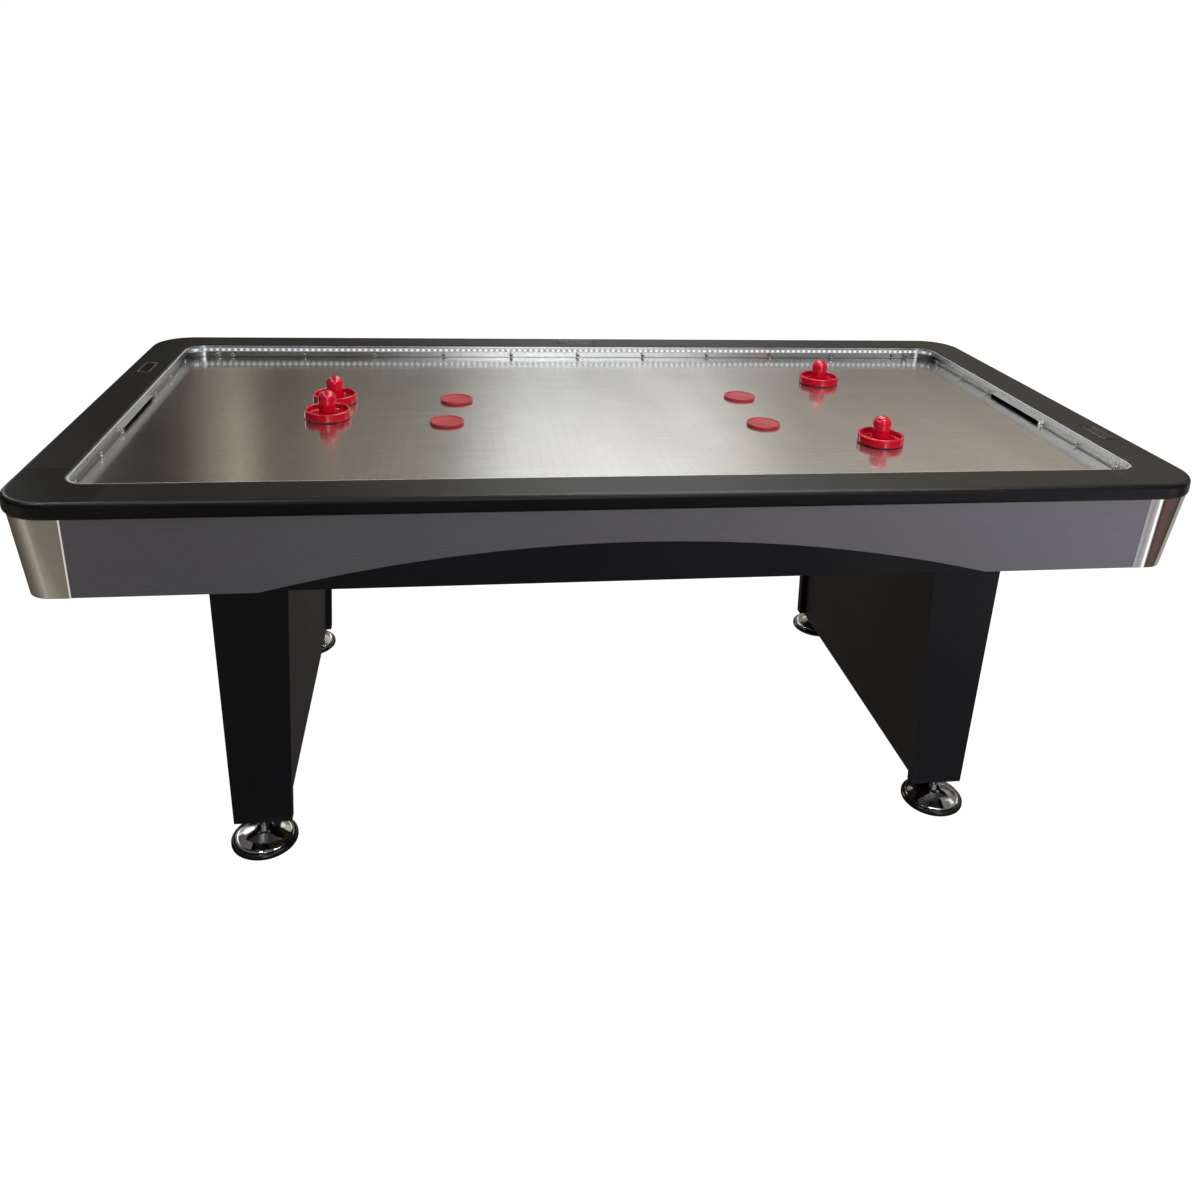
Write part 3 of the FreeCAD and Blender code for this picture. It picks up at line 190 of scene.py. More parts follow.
def corner_aluminium():
    """Satin aluminium corner sheet, brushed round the corner, with dull smears.

    Shading alone gives it the bow of a sprung sheet beside its seam. The bright lip turned along the seam is
    a painted highlight, strong on the left sheet and faint on the right.
    """
    s = Shader("corner_sheet_aluminium")
    lines = s.noise(700.0, 3.0, 0.7, s.stretched((0.05, 0.05, 1.0)))
    smear = s.noise(9.0, 5.0, 0.6, s.stretched((1.0, 1.0, 0.5)))
    base = s.blend(lines, (0.66, 0.645, 0.625), (0.84, 0.825, 0.805))
    rough = s.scaled(smear, 0.05, s.scaled(lines, 0.04, 0.035))
    upright = s.fixed(0.0, 0.0, 1.0)
    normal = s.bump(lines, 0.05, 0.0002)
    wave = s.noise(40.0, 3.0, 0.5, s.stretched((1.0, 1.0, 0.2)))
    normal = s.bump(wave, 0.10, 0.0008, normal)
    x, y, z = s.axes()
    lip, flat, bow, sheet_width = 2.6 * MM, 54 * MM, 2.5, 104 * MM
    # Painted highlight: glow strengths on the seam's lip, with the left sheet far brighter than the right.
    left_lip_painted_highlight, right_lip_painted_highlight = 0.48, 0.06
    seam_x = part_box("front_fascia")[1].x
    seam_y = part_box("apron_corner_trims")[1].y - sheet_width

    def bowed(place, seam):
        out = s.math("SUBTRACT", s.math("ABSOLUTE", place), seam)
        clear = s.math("MAXIMUM", out, 0.0)
        near = s.math("MINIMUM", clear, flat)
        crown = s.math("MULTIPLY", s.math("MULTIPLY", near, near), bow)
        rest = s.math("MULTIPLY", s.math("SUBTRACT", clear, near), 2 * bow * flat)
        return s.math("MULTIPLY", s.math("ADD", crown, rest), -1.0), s.math("LESS_THAN", out, lip)

    height_x, lip_x = bowed(x, seam_x)
    height_y, lip_y = bowed(y, seam_y)
    normal = s.bump(s.math("ADD", height_x, height_y), 1.0, 1.0, normal)
    lip_highlight_mask = s.math("MAXIMUM", lip_x, lip_y)
    # shine is the painted highlight's strength, chosen by the sheet's side.
    shine = s.scaled(s.math("LESS_THAN", x, 0.0), left_lip_painted_highlight - right_lip_painted_highlight, right_lip_painted_highlight)
    return s.done(s.principled(Base_Color=base, Metallic=1.0, Roughness=rough, Anisotropic=0.7,
                               Tangent=upright, Normal=normal, Emission_Color=(1.0, 0.95, 0.90),
                               Emission_Strength=s.math("MULTIPLY", lip_highlight_mask, shine)))


def wall_aluminium():
    """Thin satin aluminium lining behind the clear liners, lightly brushed along the wall."""
    s = Shader("wall_lining_aluminium")
    lines = s.noise(500.0, 4.0, 0.7, s.stretched((0.03, 0.03, 1.0)))
    base = s.blend(lines, (0.66, 0.65, 0.64), (0.88, 0.88, 0.87))
    upright = s.fixed(0.0, 0.0, 1.0)
    rough = s.scaled(s.noise(12.0, 4.0), 0.10, 0.10)
    normal = s.bump(lines, 0.06, 0.0002)
    return s.done(s.principled(Base_Color=base, Metallic=1.0, Roughness=rough, Anisotropic=0.7,
                               Tangent=upright, Normal=normal))


def brushed_skin():
    """Brushed metallic playing sheet: grooves the long way, lighter slanting bands, dust and a clear coat."""
    s = Shader("brushed_playing_sheet")
    fine = s.noise(2100.0, 3.0, 0.75, s.stretched((0.006, 1.0, 1.0)))
    coarse = s.noise(420.0, 4.0, 0.7, s.stretched((0.012, 1.0, 1.0)))
    cloud = s.noise(3.5, 5.0, 0.6)
    smudge = s.ramp(s.noise(7.0, 7.0, 0.7), (0.5, 0.0), (0.75, 1.0))
    lines = s.math("ADD", s.math("MULTIPLY", fine, 0.5), s.math("MULTIPLY", coarse, 0.5))
    turned = s.node("ShaderNodeMapping", {"Vector": s.point, "Rotation": (0.0, 0.0, 0.62),
                                          "Scale": (1.0, 0.22, 1.0)}).outputs[0]
    # Lighter slanting bands in the sheet's colour.
    slanting_bands = s.ramp(s.noise(5.5, 3.0, 0.45, turned), (0.38, 0.0), (0.66, 1.0))
    base = s.blend(s.ramp(lines, (0.30, 0.0), (0.70, 1.0)), (0.45, 0.435, 0.415), (0.79, 0.775, 0.755))
    base = s.blend(s.math("MULTIPLY", slanting_bands, 0.42), base, (0.80, 0.79, 0.77))
    base = s.blend(s.math("MULTIPLY", smudge, 0.18), base, (0.86, 0.85, 0.83))
    rough = s.scaled(lines, 0.07, s.scaled(cloud, 0.10, 0.11))
    across = s.fixed(0.0, 1.0, 0.0)
    normal = s.bump(lines, 0.10, 0.00012)
    dust = s.ramp(s.noise(330.0, 1.0, 0.4), (0.745, 0.0), (0.775, 0.8))
    metal = s.math("SUBTRACT", 1.0, dust)
    return s.done(s.principled(Base_Color=base, Metallic=metal, Roughness=rough, Anisotropic=0.75,
                               Tangent=across, Normal=normal, Coat_Weight=0.8, Coat_Roughness=0.03,
                               Coat_IOR=1.55))


def hole_painted_shade():
    """The punched hole walls of the playing sheet, near black: painted shade inside the holes."""
    s = Shader("hole_wall_painted_shade")
    base = s.blend(s.noise(900.0), (0.010, 0.010, 0.009), (0.03, 0.028, 0.026))
    return s.done(s.principled(Base_Color=base, Roughness=0.7))


def clear_acrylic():
    """Clear liner: mostly passes light, reflects more at a glancing angle, milky at its sawn edges."""
    s = Shader("clear_liner_acrylic")
    facing = s.node("ShaderNodeFresnel", {"IOR": 1.49}).outputs[0]
    haze = s.noise(60.0, 5.0, 0.7)
    surface_normal = s.node("ShaderNodeNewGeometry").outputs["Normal"]
    parts = s.node("ShaderNodeSeparateXYZ", {0: surface_normal})
    upward = s.ramp(s.math("ABSOLUTE", parts.outputs[2]), (0.6, 0.0), (0.85, 1.0))
    clear = s.node("ShaderNodeBsdfTransparent", {"Color": (0.965, 0.975, 0.98, 1)}).outputs[0]
    gloss = s.node("ShaderNodeBsdfGlossy", {"Color": (1, 1, 1, 1), "Roughness": 0.03}).outputs[0]
    milk = s.principled(Base_Color=(0.78, 0.80, 0.80), Roughness=0.32, Transmission_Weight=0.25)
    shine = s.math("MULTIPLY", facing, 0.85)
    body = s.mixed(shine, clear, gloss)
    film = s.mixed(s.math("MULTIPLY", haze, 0.02), body, milk)
    return s.done(s.mixed(s.math("MULTIPLY", upward, 0.85), film, milk))


def light_strip():
    """Flexible grey strip: three chips and resistors to every 50 mm, copper pads where it may be cut. The
    unlit strip has a painted glow, stronger on the chips.
    """
    s = Shader("flexible_light_strip")
    x, y, z = s.axes()
    side_wall = 533.5 * MM
    along = s.blend(s.math("GREATER_THAN", s.math("ABSOLUTE", y), side_wall), y, x)
    cut_pitch = 50 * MM
    chip_pitch = cut_pitch / 3
    whole_pitches = 200
    middle = sum(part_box("light_strips"), Vector()).z / 2
    height = s.math("ABSOLUTE", s.math("SUBTRACT", z, middle))

    def bars(pitch, half, tall, shift=0.0):
        """One where the strip carries a part; whole pitches are added so that no place is negative."""
        place = s.math("ADD", along, (whole_pitches + shift) * pitch)
        gap = s.math("ABSOLUTE", s.math("SUBTRACT", s.math("MODULO", place, pitch), pitch / 2))
        return s.math("MULTIPLY", s.math("LESS_THAN", gap, half), s.math("LESS_THAN", height, tall))

    chip = bars(chip_pitch, 3.6 * MM, 3.2 * MM)
    lens = bars(chip_pitch, 1.7 * MM, 1.7 * MM)
    resistor = bars(chip_pitch, 1.1 * MM, 0.8 * MM, 0.5)
    pads = bars(cut_pitch, 1.2 * MM, 4.2 * MM, 0.5)
    base = s.blend(s.noise(120.0), (0.30, 0.30, 0.31), (0.40, 0.40, 0.41))
    base = s.blend(pads, base, (0.50, 0.36, 0.20))
    base = s.blend(resistor, base, (0.03, 0.03, 0.03))
    base = s.blend(chip, base, (0.90, 0.90, 0.90))
    base = s.blend(lens, base, (0.92, 0.90, 0.82))
    # Painted glow: the unlit strip emits its own colour, the chips more than the tape.
    glow = s.scaled(chip, 0.25, 0.40)
    raised = s.math("ADD", s.math("ADD", chip, resistor), s.math("MULTIPLY", lens, -0.4))
    normal = s.bump(raised, 0.7, 0.0008)
    return s.done(s.principled(Base_Color=base, Roughness=0.30, Normal=normal, Coat_Weight=0.7,
                               Coat_Roughness=0.08, Emission_Color=base, Emission_Strength=glow))


def plain_steel(name, dark, light, rough, grain=600.0):
    """Plated or bare steel: fine speckle and slightly worn, uneven sheen."""
    s = Shader(name)
    speck = s.noise(grain, 4.0, 0.65)
    smear = s.noise(30.0, 4.0)
    base = s.blend(speck, dark, light)
    wear = s.scaled(smear, 0.16, rough)
    normal = s.bump(speck, 0.18, 0.0002)
    return s.done(s.principled(Base_Color=base, Metallic=1.0, Roughness=wear, Normal=normal))


def chrome():
    """Chromed pressing: a mirror with faint ripples and patches of haze."""
    s = Shader("foot_chrome")
    haze = s.noise(18.0, 6.0, 0.65)
    ripple = s.noise(22.0, 2.0, 0.5)
    base = s.blend(haze, (0.70, 0.69, 0.68), (0.84, 0.84, 0.84))
    rough = s.ramp(haze, (0.35, 0.035), (0.8, 0.16))
    normal = s.bump(ripple, 0.10, 0.002)
    return s.done(s.principled(Base_Color=base, Metallic=1.0, Roughness=rough, Normal=normal))


def moulded(name, dark, light, rough, pebble=900.0, strength=0.12, gloss=0.5, coat=0.0):
    """Moulded plastic or rubber: slight mottling, fine skin texture, uneven sheen."""
    s = Shader(name)
    mottle = s.noise(22.0, 5.0, 0.6)
    skin = s.noise(pebble, 2.0)
    base = s.blend(mottle, dark, light)
    sheen = s.scaled(mottle, 0.12, rough)
    normal = s.bump(skin, strength, 0.0002)
    return s.done(s.principled(Base_Color=base, Roughness=sheen, Specular_IOR_Level=gloss, Normal=normal,
                               Coat_Weight=coat, Coat_Roughness=0.05))


def glossy_red(name, dark, light, rough, coat):
    """Polished injection-moulded red: swirl of flow lines and small handling scratches."""
    s = Shader(name)
    flow = s.noise(30.0, 4.0, 0.6)
    scratch = s.ramp(s.noise(500.0, 2.0, 0.5, s.stretched((1.0, 0.06, 1.0))), (0.60, 0.0), (0.72, 1.0))
    base = s.blend(flow, dark, light)
    sheen = s.scaled(scratch, 0.06, s.scaled(flow, 0.04, rough))
    normal = s.bump(flow, 0.05, 0.0004)
    return s.done(s.principled(Base_Color=base, Roughness=sheen, Normal=normal, Coat_Weight=coat,
                               Coat_Roughness=0.02))


def felt():
    """Thin black felt under each mallet: short crossed fibres."""
    s = Shader("mallet_felt")
    fibres = s.noise(1800.0, 6.0, 0.8)
    base = s.ramp(fibres, (0.35, (0.006, 0.006, 0.006)), (0.7, (0.035, 0.034, 0.033)))
    return s.done(s.principled(Base_Color=base, Roughness=0.95, Sheen_Weight=0.6,
                               Normal=s.bump(fibres, 0.9, 0.0006)))


def smoked_window():
    """Dark red smoked cover of a score unit, slightly clouded."""
    s = Shader("smoked_score_window")
    haze = s.noise(90.0, 4.0)
    base = s.blend(haze, (0.018, 0.0100, 0.0100), (0.026, 0.0145, 0.0145))
    return s.done(s.principled(Base_Color=base, Roughness=0.10, Specular_IOR_Level=0.3,
                               Normal=s.bump(haze, 0.04, 0.0003)))


def score_segment():
    """Unlit dark red bars of a score digit, with a faint painted red glow."""
    s = Shader("score_segment_red")
    haze = s.noise(300.0, 3.0)
    base = s.blend(haze, (0.012, 0.004, 0.004), (0.020, 0.006, 0.006))
    # Painted glow: a faint red emission on the unlit bars.
    glow = s.principled(Base_Color=base, Roughness=0.35, Emission_Color=(0.9, 0.05, 0.03),
                        Emission_Strength=0.006)
    return s.done(glow)


MATERIALS = {
    "rail_black": rail_black(),
    "corner_black": rail_black("rail_corner_foil", 0.24),
    "graphite_laminate": graphite_laminate(),
    "black_laminate": black_laminate(),
    "fibreboard": fibreboard(),
    "corner_aluminium": corner_aluminium(),
    "wall_aluminium": wall_aluminium(),
    "brushed_skin": brushed_skin(),
    "clear_acrylic": clear_acrylic(),
    "light_strip": light_strip(),
    "screw_steel": plain_steel("zinc_plated_steel", (0.50, 0.50, 0.49), (0.74, 0.74, 0.72), 0.20),
    "screw_core": plain_steel("dark_screw_core", (0.035, 0.034, 0.033), (0.09, 0.088, 0.085), 0.32),
    "motor_steel": moulded("motor_paint", (0.035, 0.035, 0.04), (0.07, 0.07, 0.08), 0.38, 400.0, 0.3),
    "chrome": chrome(),
    "foot_rubber": moulded("foot_base_rubber", (0.004, 0.004, 0.004), (0.010, 0.0095, 0.009), 0.14, 300.0,
                           0.06, 0.55, 0.35),
    "black_plastic": moulded("black_plastic_shell", (0.010, 0.010, 0.011), (0.020, 0.020, 0.021), 0.28),
    "grey_plastic": moulded("grey_plastic_shell", (0.10, 0.10, 0.105), (0.15, 0.15, 0.155), 0.40),
    "rocker_plastic": moulded("rocker_gloss_plastic", (0.012, 0.012, 0.012), (0.022, 0.022, 0.022), 0.16,
                              900.0, 0.05, 0.5, 0.4),
    "smoked_window": smoked_window(),
    "score_segment": score_segment(),
    "mallet_red": glossy_red("mallet_gloss_red", (0.46, 0.002, 0.014), (0.56, 0.003, 0.021), 0.05, 0.6),
    "puck_red": glossy_red("puck_satin_red", (0.36, 0.018, 0.028), (0.44, 0.028, 0.038), 0.34, 0.10),
    "felt": felt(),
    "hole_painted_shade": hole_painted_shade(),
}


# -------- mesh helpers

def smooth_by_angle():
    """A geometry node group that shades smooth and keeps edges sharper than 30 degrees sharp."""
    group = bpy.data.node_groups.new("smooth_by_angle", "GeometryNodeTree")
    group.interface.new_socket("Geometry", in_out="INPUT", socket_type="NodeSocketGeometry")
    group.interface.new_socket("Geometry", in_out="OUTPUT", socket_type="NodeSocketGeometry")
    start = group.nodes.new("NodeGroupInput")
    end = group.nodes.new("NodeGroupOutput")
    faces = group.nodes.new("GeometryNodeSetShadeSmooth")
    edges = group.nodes.new("GeometryNodeSetShadeSmooth")
    edges.domain = "EDGE"
    edges.inputs["Shade Smooth"].default_value = False
    angle = group.nodes.new("GeometryNodeInputMeshEdgeAngle")
    sharp = group.nodes.new("FunctionNodeCompare")
    sharp.data_type = "FLOAT"
    sharp.operation = "GREATER_THAN"
    sharp.inputs["B"].default_value = math.radians(30)
    group.links.new(start.outputs[0], faces.inputs["Geometry"])
    group.links.new(faces.outputs[0], edges.inputs["Geometry"])
    group.links.new(angle.outputs["Unsigned Angle"], sharp.inputs["A"])
    group.links.new(sharp.outputs[0], edges.inputs["Selection"])
    group.links.new(edges.outputs[0], end.inputs[0])
    return group


SMOOTH = smooth_by_angle()


def soften_edges(name, width, steps=2):
    """Rounds a CAD node's hard edges a little by modifiers, without moving its own vertices."""
    node = NODES[name]
    stored = node.data.attributes.get("custom_normal")
    if stored:
        node.data.attributes.remove(stored)
    weld = node.modifiers.new("weld", "WELD")
    weld.merge_threshold = 2e-6
    shade = node.modifiers.new("smooth", "NODES")
    shade.node_group = SMOOTH
    bevel = node.modifiers.new("bevel", "BEVEL")
    bevel.width = width
    bevel.segments = steps
    bevel.limit_method = "ANGLE"
    bevel.angle_limit = math.radians(35)
    bevel.harden_normals = True
    bevel.use_clamp_overlap = True


def paint(slot, *names):
    """Gives CAD nodes one of the materials."""
    for name in names:
        mesh = NODES[name].data
        mesh.materials.clear()
        mesh.materials.append(MATERIALS[slot])


def centre_of(name):
    low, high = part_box(name)
    return (low + high) / 2


def piece(name, verts, faces, material, body, sharp=35, stands_for=()):
    """A new mesh riding on a CAD body, with the material of the given key; it hides the CAD nodes it stands
    for.
    """
    mesh = bpy.data.meshes.new(name)
    mesh.from_pydata(verts, [], faces)
    mesh.update()
    mesh.shade_smooth()
    mesh.set_sharp_from_angle(angle=math.radians(sharp))
    mesh.materials.append(MATERIALS[material])
    made = bpy.data.objects.new(name, mesh)
    bpy.context.scene.collection.objects.link(made)
    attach(made, body)
    if stands_for:
        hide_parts(*stands_for)
    return made


def rounded(points, steps=5):
    """A profile with its corners rounded: points are (radius, height, corner radius) in millimetres."""
    out = []
    last = len(points) - 1
    for i, (r, h, corner) in enumerate(points):
        here = Vector((r, h))
        if corner <= 0 or i in (0, last):
            out.append(here)
            continue
        back = Vector(points[i - 1][:2]) - here
        ahead = Vector(points[i + 1][:2]) - here
        half = back.angle(ahead) / 2
        reach = min(corner / math.tan(half), 0.49 * back.length, 0.49 * ahead.length)
        radius = reach * math.tan(half)
        back.normalize()
        ahead.normalize()
        middle = here + (back + ahead).normalized() * (radius / math.sin(half))
        start = here + back * reach - middle
        end = here + ahead * reach - middle
        turn = start.angle_signed(end)
        for step in range(steps + 1):
            spin = Matrix.Rotation(-turn * step / steps, 2)
            out.append(middle + spin @ start)
    return [(p.x * MM, p.y * MM) for p in out]


def lathe(profile, matrix, segments=96):
    """Verts and faces of a turned form; the profile runs from axis to axis, or closes on itself."""
    verts, faces, rows = [], [], []
    for r, h in profile:
        if r < 1e-7:
            rows.append([len(verts)])
            verts.append(matrix @ Vector((0, 0, h)))
            continue
        rows.append(list(range(len(verts), len(verts) + segments)))
        for i in range(segments):
            angle = 2 * math.pi * i / segments
            verts.append(matrix @ Vector((r * math.cos(angle), r * math.sin(angle), h)))
    for low, high in zip(rows, rows[1:]):
        for i in range(segments):
            j = (i + 1) % segments
            ring = [low[i % len(low)], low[j % len(low)], high[j % len(high)], high[i % len(high)]]
            face = list(dict.fromkeys(ring))
            if len(face) > 2:
                faces.append(face)
    return verts, faces


def joined(parts):
    """Several (verts, faces) pairs as one."""
    verts, faces = [], []
    for more_verts, more_faces in parts:
        start = len(verts)
        verts.extend(more_verts)
        faces.extend([[i + start for i in face] for face in more_faces])
    return verts, faces


def prism(outline, low, high, inset=0.0):
    """A closed prism over a flat outline, its top edge drawn in by the inset as a small chamfer."""
    count = len(outline)
    middle = sum((Vector(p) for p in outline), Vector((0, 0))) / count
    rings = [(low, 0.0), (high - inset, 0.0), (high, inset)]
    verts = []
    for height, pull in rings:
        for p in outline:
            spoke = Vector(p) - middle
            q = middle + spoke * (1 - pull / spoke.length)
            verts.append(Vector((q.x, q.y, height)))
    faces = [list(reversed(range(count))), list(range(2 * count, 3 * count))]
    for ring in (0, count):
        for i in range(count):
            j = (i + 1) % count
            faces.append([ring + i, ring + j, ring + count + j, ring + count + i])
    return verts, faces


def solids(name, reach):
    """Boxes of the separate solids in a CAD node, found by which vertices lie within reach of each other."""
    groups = []
    for vertex in NODES[name].data.vertices:
        for members in groups:
            if (members[0] - vertex.co).length < reach:
                members.append(vertex.co.copy())
                break
        else:
            groups.append([vertex.co.copy()])
    boxes = []
    for members in groups:
        low = Vector([min(p[i] for p in members) for i in range(3)])
        high = Vector([max(p[i] for p in members) for i in range(3)])
        boxes.append((low, high))
    return boxes


# -------- the playing sheet

def playing_sheet():
    """The sheet with its real grid of air holes, each with a wall going down through it."""
    low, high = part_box("playfield_skin")
    pitch, radius, margins = 25 * MM, 1.1 * MM, 60 * MM
    count_x = int((high.x - low.x - margins) / pitch)
    count_y = int((high.y - low.y - margins) / pitch)
    half = pitch / 2
    start_x = (low.x + high.x - count_x * pitch) / 2
    start_y = (low.y + high.y - count_y * pitch) / 2
    wide, deep = 2 * count_x + 1, 2 * count_y + 1
    verts = [(start_x + i * half, start_y + j * half, high.z) for j in range(deep) for i in range(wide)]
    faces = []
    dark = []
    ring = [(-1, -1), (0, -1), (1, -1), (1, 0), (1, 1), (0, 1), (-1, 1), (-1, 0)]
    for row in range(count_y):
        for column in range(count_x):
            i, j = 2 * column + 1, 2 * row + 1
            outer = [(j + dy) * wide + i + dx for dx, dy in ring]
            x, y = start_x + i * half, start_y + j * half
            hole = []
            for height in (high.z, low.z):
                base = len(verts)
                for dx, dy in ring:
                    spoke = Vector((dx, dy)).normalized() * radius
                    verts.append((x + spoke.x, y + spoke.y, height))
                hole.append(list(range(base, base + 8)))
            for k in range(8):
                n = (k + 1) % 8
                faces.append([outer[k], outer[n], hole[0][n], hole[0][k]])
                dark.append(False)
                faces.append([hole[0][k], hole[0][n], hole[1][n], hole[1][k]])
                dark.append(True)
    border = len(verts)
    for height in (high.z, low.z):
        verts.extend([(low.x, low.y, height), (high.x, low.y, height), (high.x, high.y, height),
                      (low.x, high.y, height)])
    inner = [0, wide - 1, wide * deep - 1, wide * (deep - 1)]
    for k in range(4):
        n = (k + 1) % 4
        faces.append([border + k, border + n, inner[n], inner[k]])
        faces.append([border + 4 + k, border + 4 + n, border + n, border + k])
        dark.extend([False, False])
    sheet = piece("playing_sheet", verts, faces, "brushed_skin", "table", 20,
                  ("playfield_skin",))
    # The hole walls take the near-black painted shade.
    sheet.data.materials.append(MATERIALS["hole_painted_shade"])
    for face, is_dark in zip(sheet.data.polygons, dark):
        face.use_smooth = False
        face.material_index = 1 if is_dark else 0


# -------- liner screws

def liner_screws():
    """Each screw is a cup washer ring with a cross-marked head sunk in it, facing the playing area."""
    cups, heads = [], []
    sunk, cross_turn, slot_length, slot_width = 1.4 * MM, 0.4, 3.8 * MM, 0.56 * MM
    cup = rounded([(3.1, 0.1, 0), (5.4, 0.0, 0), (5.4, 0.35, 0.2), (4.3, 1.35, 0.5), (3.5, 1.35, 0.3),
                   (3.1, 0.7, 0.2), (3.1, 0.1, 0)], 3)
    head = rounded([(0, 0.75, 0), (1.0, 0.78, 0.3), (2.6, 0.72, 0.3), (3.1, 0.45, 0)], 2)
    for low, high in solids("liner_screws", 30 * MM):
        middle = (low + high) / 2
        size = high - low
        axis = Vector((0, 0, 0))
        if size.x > size.y:
            axis.x = -math.copysign(1, middle.x)
            face = high.x if axis.x > 0 else low.x
            seat = Vector((face, middle.y, middle.z))
        else:
            axis.y = -math.copysign(1, middle.y)
            face = high.y if axis.y > 0 else low.y
            seat = Vector((middle.x, face, middle.z))
        seat -= axis * sunk
        turn = axis.to_track_quat("Z", "Y").to_matrix().to_4x4()
        place = Matrix.Translation(seat) @ turn
        cups.append(lathe(cup, place, 24))
        heads.append(lathe(head, place, 24))
        for angle in (cross_turn, cross_turn + math.pi / 2):
            slot = [(-slot_length / 2, -slot_width / 2), (slot_length / 2, -slot_width / 2),
                    (slot_length / 2, slot_width / 2), (-slot_length / 2, slot_width / 2)]
            spin = place @ Matrix.Rotation(angle, 4, "Z")
            verts, faces = prism(slot, 0.6 * MM, 0.86 * MM, 0.05 * MM)
            heads.append(([spin @ v for v in verts], faces))
    verts, faces = joined(cups)
    piece("liner_screw_cups", verts, faces, "screw_steel", "table", 35, ("liner_screws",))
    verts, faces = joined(heads)
    piece("liner_screw_heads", verts, faces, "screw_core", "table", 35)


# -------- score units

SCORE_REACH = 150 * MM


def score_frames():
    """Moulded frames: a rounded ridge with rounded corners, its inner edge lying over the window's rim."""
    made = []
    for low, high in solids("score_bezels", SCORE_REACH):
        middle = (low + high) / 2
        half = (high - low) / 2
        radius, steps = 7 * MM, 6
        path = []
        for quarter, (sx, sy) in enumerate(((1, 1), (-1, 1), (-1, -1), (1, -1))):
            for step in range(steps + 1):
                angle = math.pi / 2 * (quarter + step / steps)
                out = Vector((math.cos(angle), math.sin(angle), 0))
                hub = Vector((sx * (half.x - radius), sy * (half.y - radius), 0))
                path.append((hub + out * radius, out))
        top = high.z
        wall, under = 2.9 * MM, top - 1.95 * MM
        ridge = [(0, low.z + MM), (0, top - 1.8 * MM), (0.5 * MM, top - 0.8 * MM), (1.4 * MM, top - 0.2 * MM),
                 (2.5 * MM, top), (3.7 * MM, top - 0.2 * MM), (4.6 * MM, top - 0.8 * MM),
                 (5.1 * MM, top - 1.6 * MM), (4.9 * MM, under), (wall, under), (wall, low.z + MM)]
        verts = []
        for edge, out in path:
            for inward, height in ridge:
                spot = Vector((middle.x, middle.y, height)) + edge - out * inward
                verts.append(spot)
        count, deep = len(path), len(ridge)
        faces = []
        for i in range(count):
            j = (i + 1) % count
            for k in range(deep):
                n = (k + 1) % deep
                faces.append([i * deep + k, j * deep + k, j * deep + n, i * deep + n])
        made.append((verts, faces))
    verts, faces = joined(made)
    piece("score_frames", verts, faces, "rocker_plastic", "table", 60, ("score_bezels",))


def score_digits():
    """Seven-bar digits, unlit, two pairs to a score unit, set just on the windows."""
    bar = [(-3.0, 0), (-2.3, -0.8), (2.3, -0.8), (3.0, 0), (2.3, 0.8), (-2.3, 0.8)]
    standing = [(-y, x) for x, y in bar]
    figure = [(0, 8, bar), (0, 0, bar), (0, -8, bar), (-4, 4, standing), (4, 4, standing),
              (-4, -4, standing), (4, -4, standing)]
    made = []
    for low, high in solids("score_windows", SCORE_REACH):
        size = high - low
        middle = (low + high) / 2
        long_x = size.x > size.y
        turn = Matrix.Identity(4) if long_x else Matrix.Rotation(math.pi / 2, 4, "Z")
        place = Matrix.Translation(Vector((middle.x, middle.y, high.z))) @ turn
        for shift in (-27, -11, 11, 27):
            for across, up, shape in figure:
                outline = [((x + across + shift) * MM, (y + up) * MM) for x, y in shape]
                verts, faces = prism(outline, 0.02 * MM, 0.14 * MM, 0.03 * MM)
                made.append(([place @ v for v in verts], faces))
    verts, faces = joined(made)
    piece("score_digit_bars", verts, faces, "score_segment", "table")


# -------- feet

def hexagon(radius):
    angles = [math.radians(60 * i) for i in range(6)]
    return [(radius * math.cos(angle), radius * math.sin(angle)) for angle in angles]


def threaded(radius, low, high, pitch, depth):
    """A screw thread as one wound surface: the radius swings once per turn and per pitch."""
    segments, rows = 24, int((high - low) / (pitch / 5))
    verts, faces = [], []
    for row in range(rows + 1):
        height = low + (high - low) * row / rows
        for i in range(segments):
            angle = 2 * math.pi * i / segments
            phase = (height / pitch - i / segments) % 1
            r = radius - depth * abs(2 * phase - 1)
            verts.append(Vector((r * math.cos(angle), r * math.sin(angle), height)))
    for row in range(rows):
        for i in range(segments):
            j = (i + 1) % segments
            a, b = row * segments, (row + 1) * segments
            faces.append([a + i, a + j, b + j, b + i])
    faces.append(list(reversed(range(segments))))
    faces.append(list(range(rows * segments, (rows + 1) * segments)))
    return verts, faces


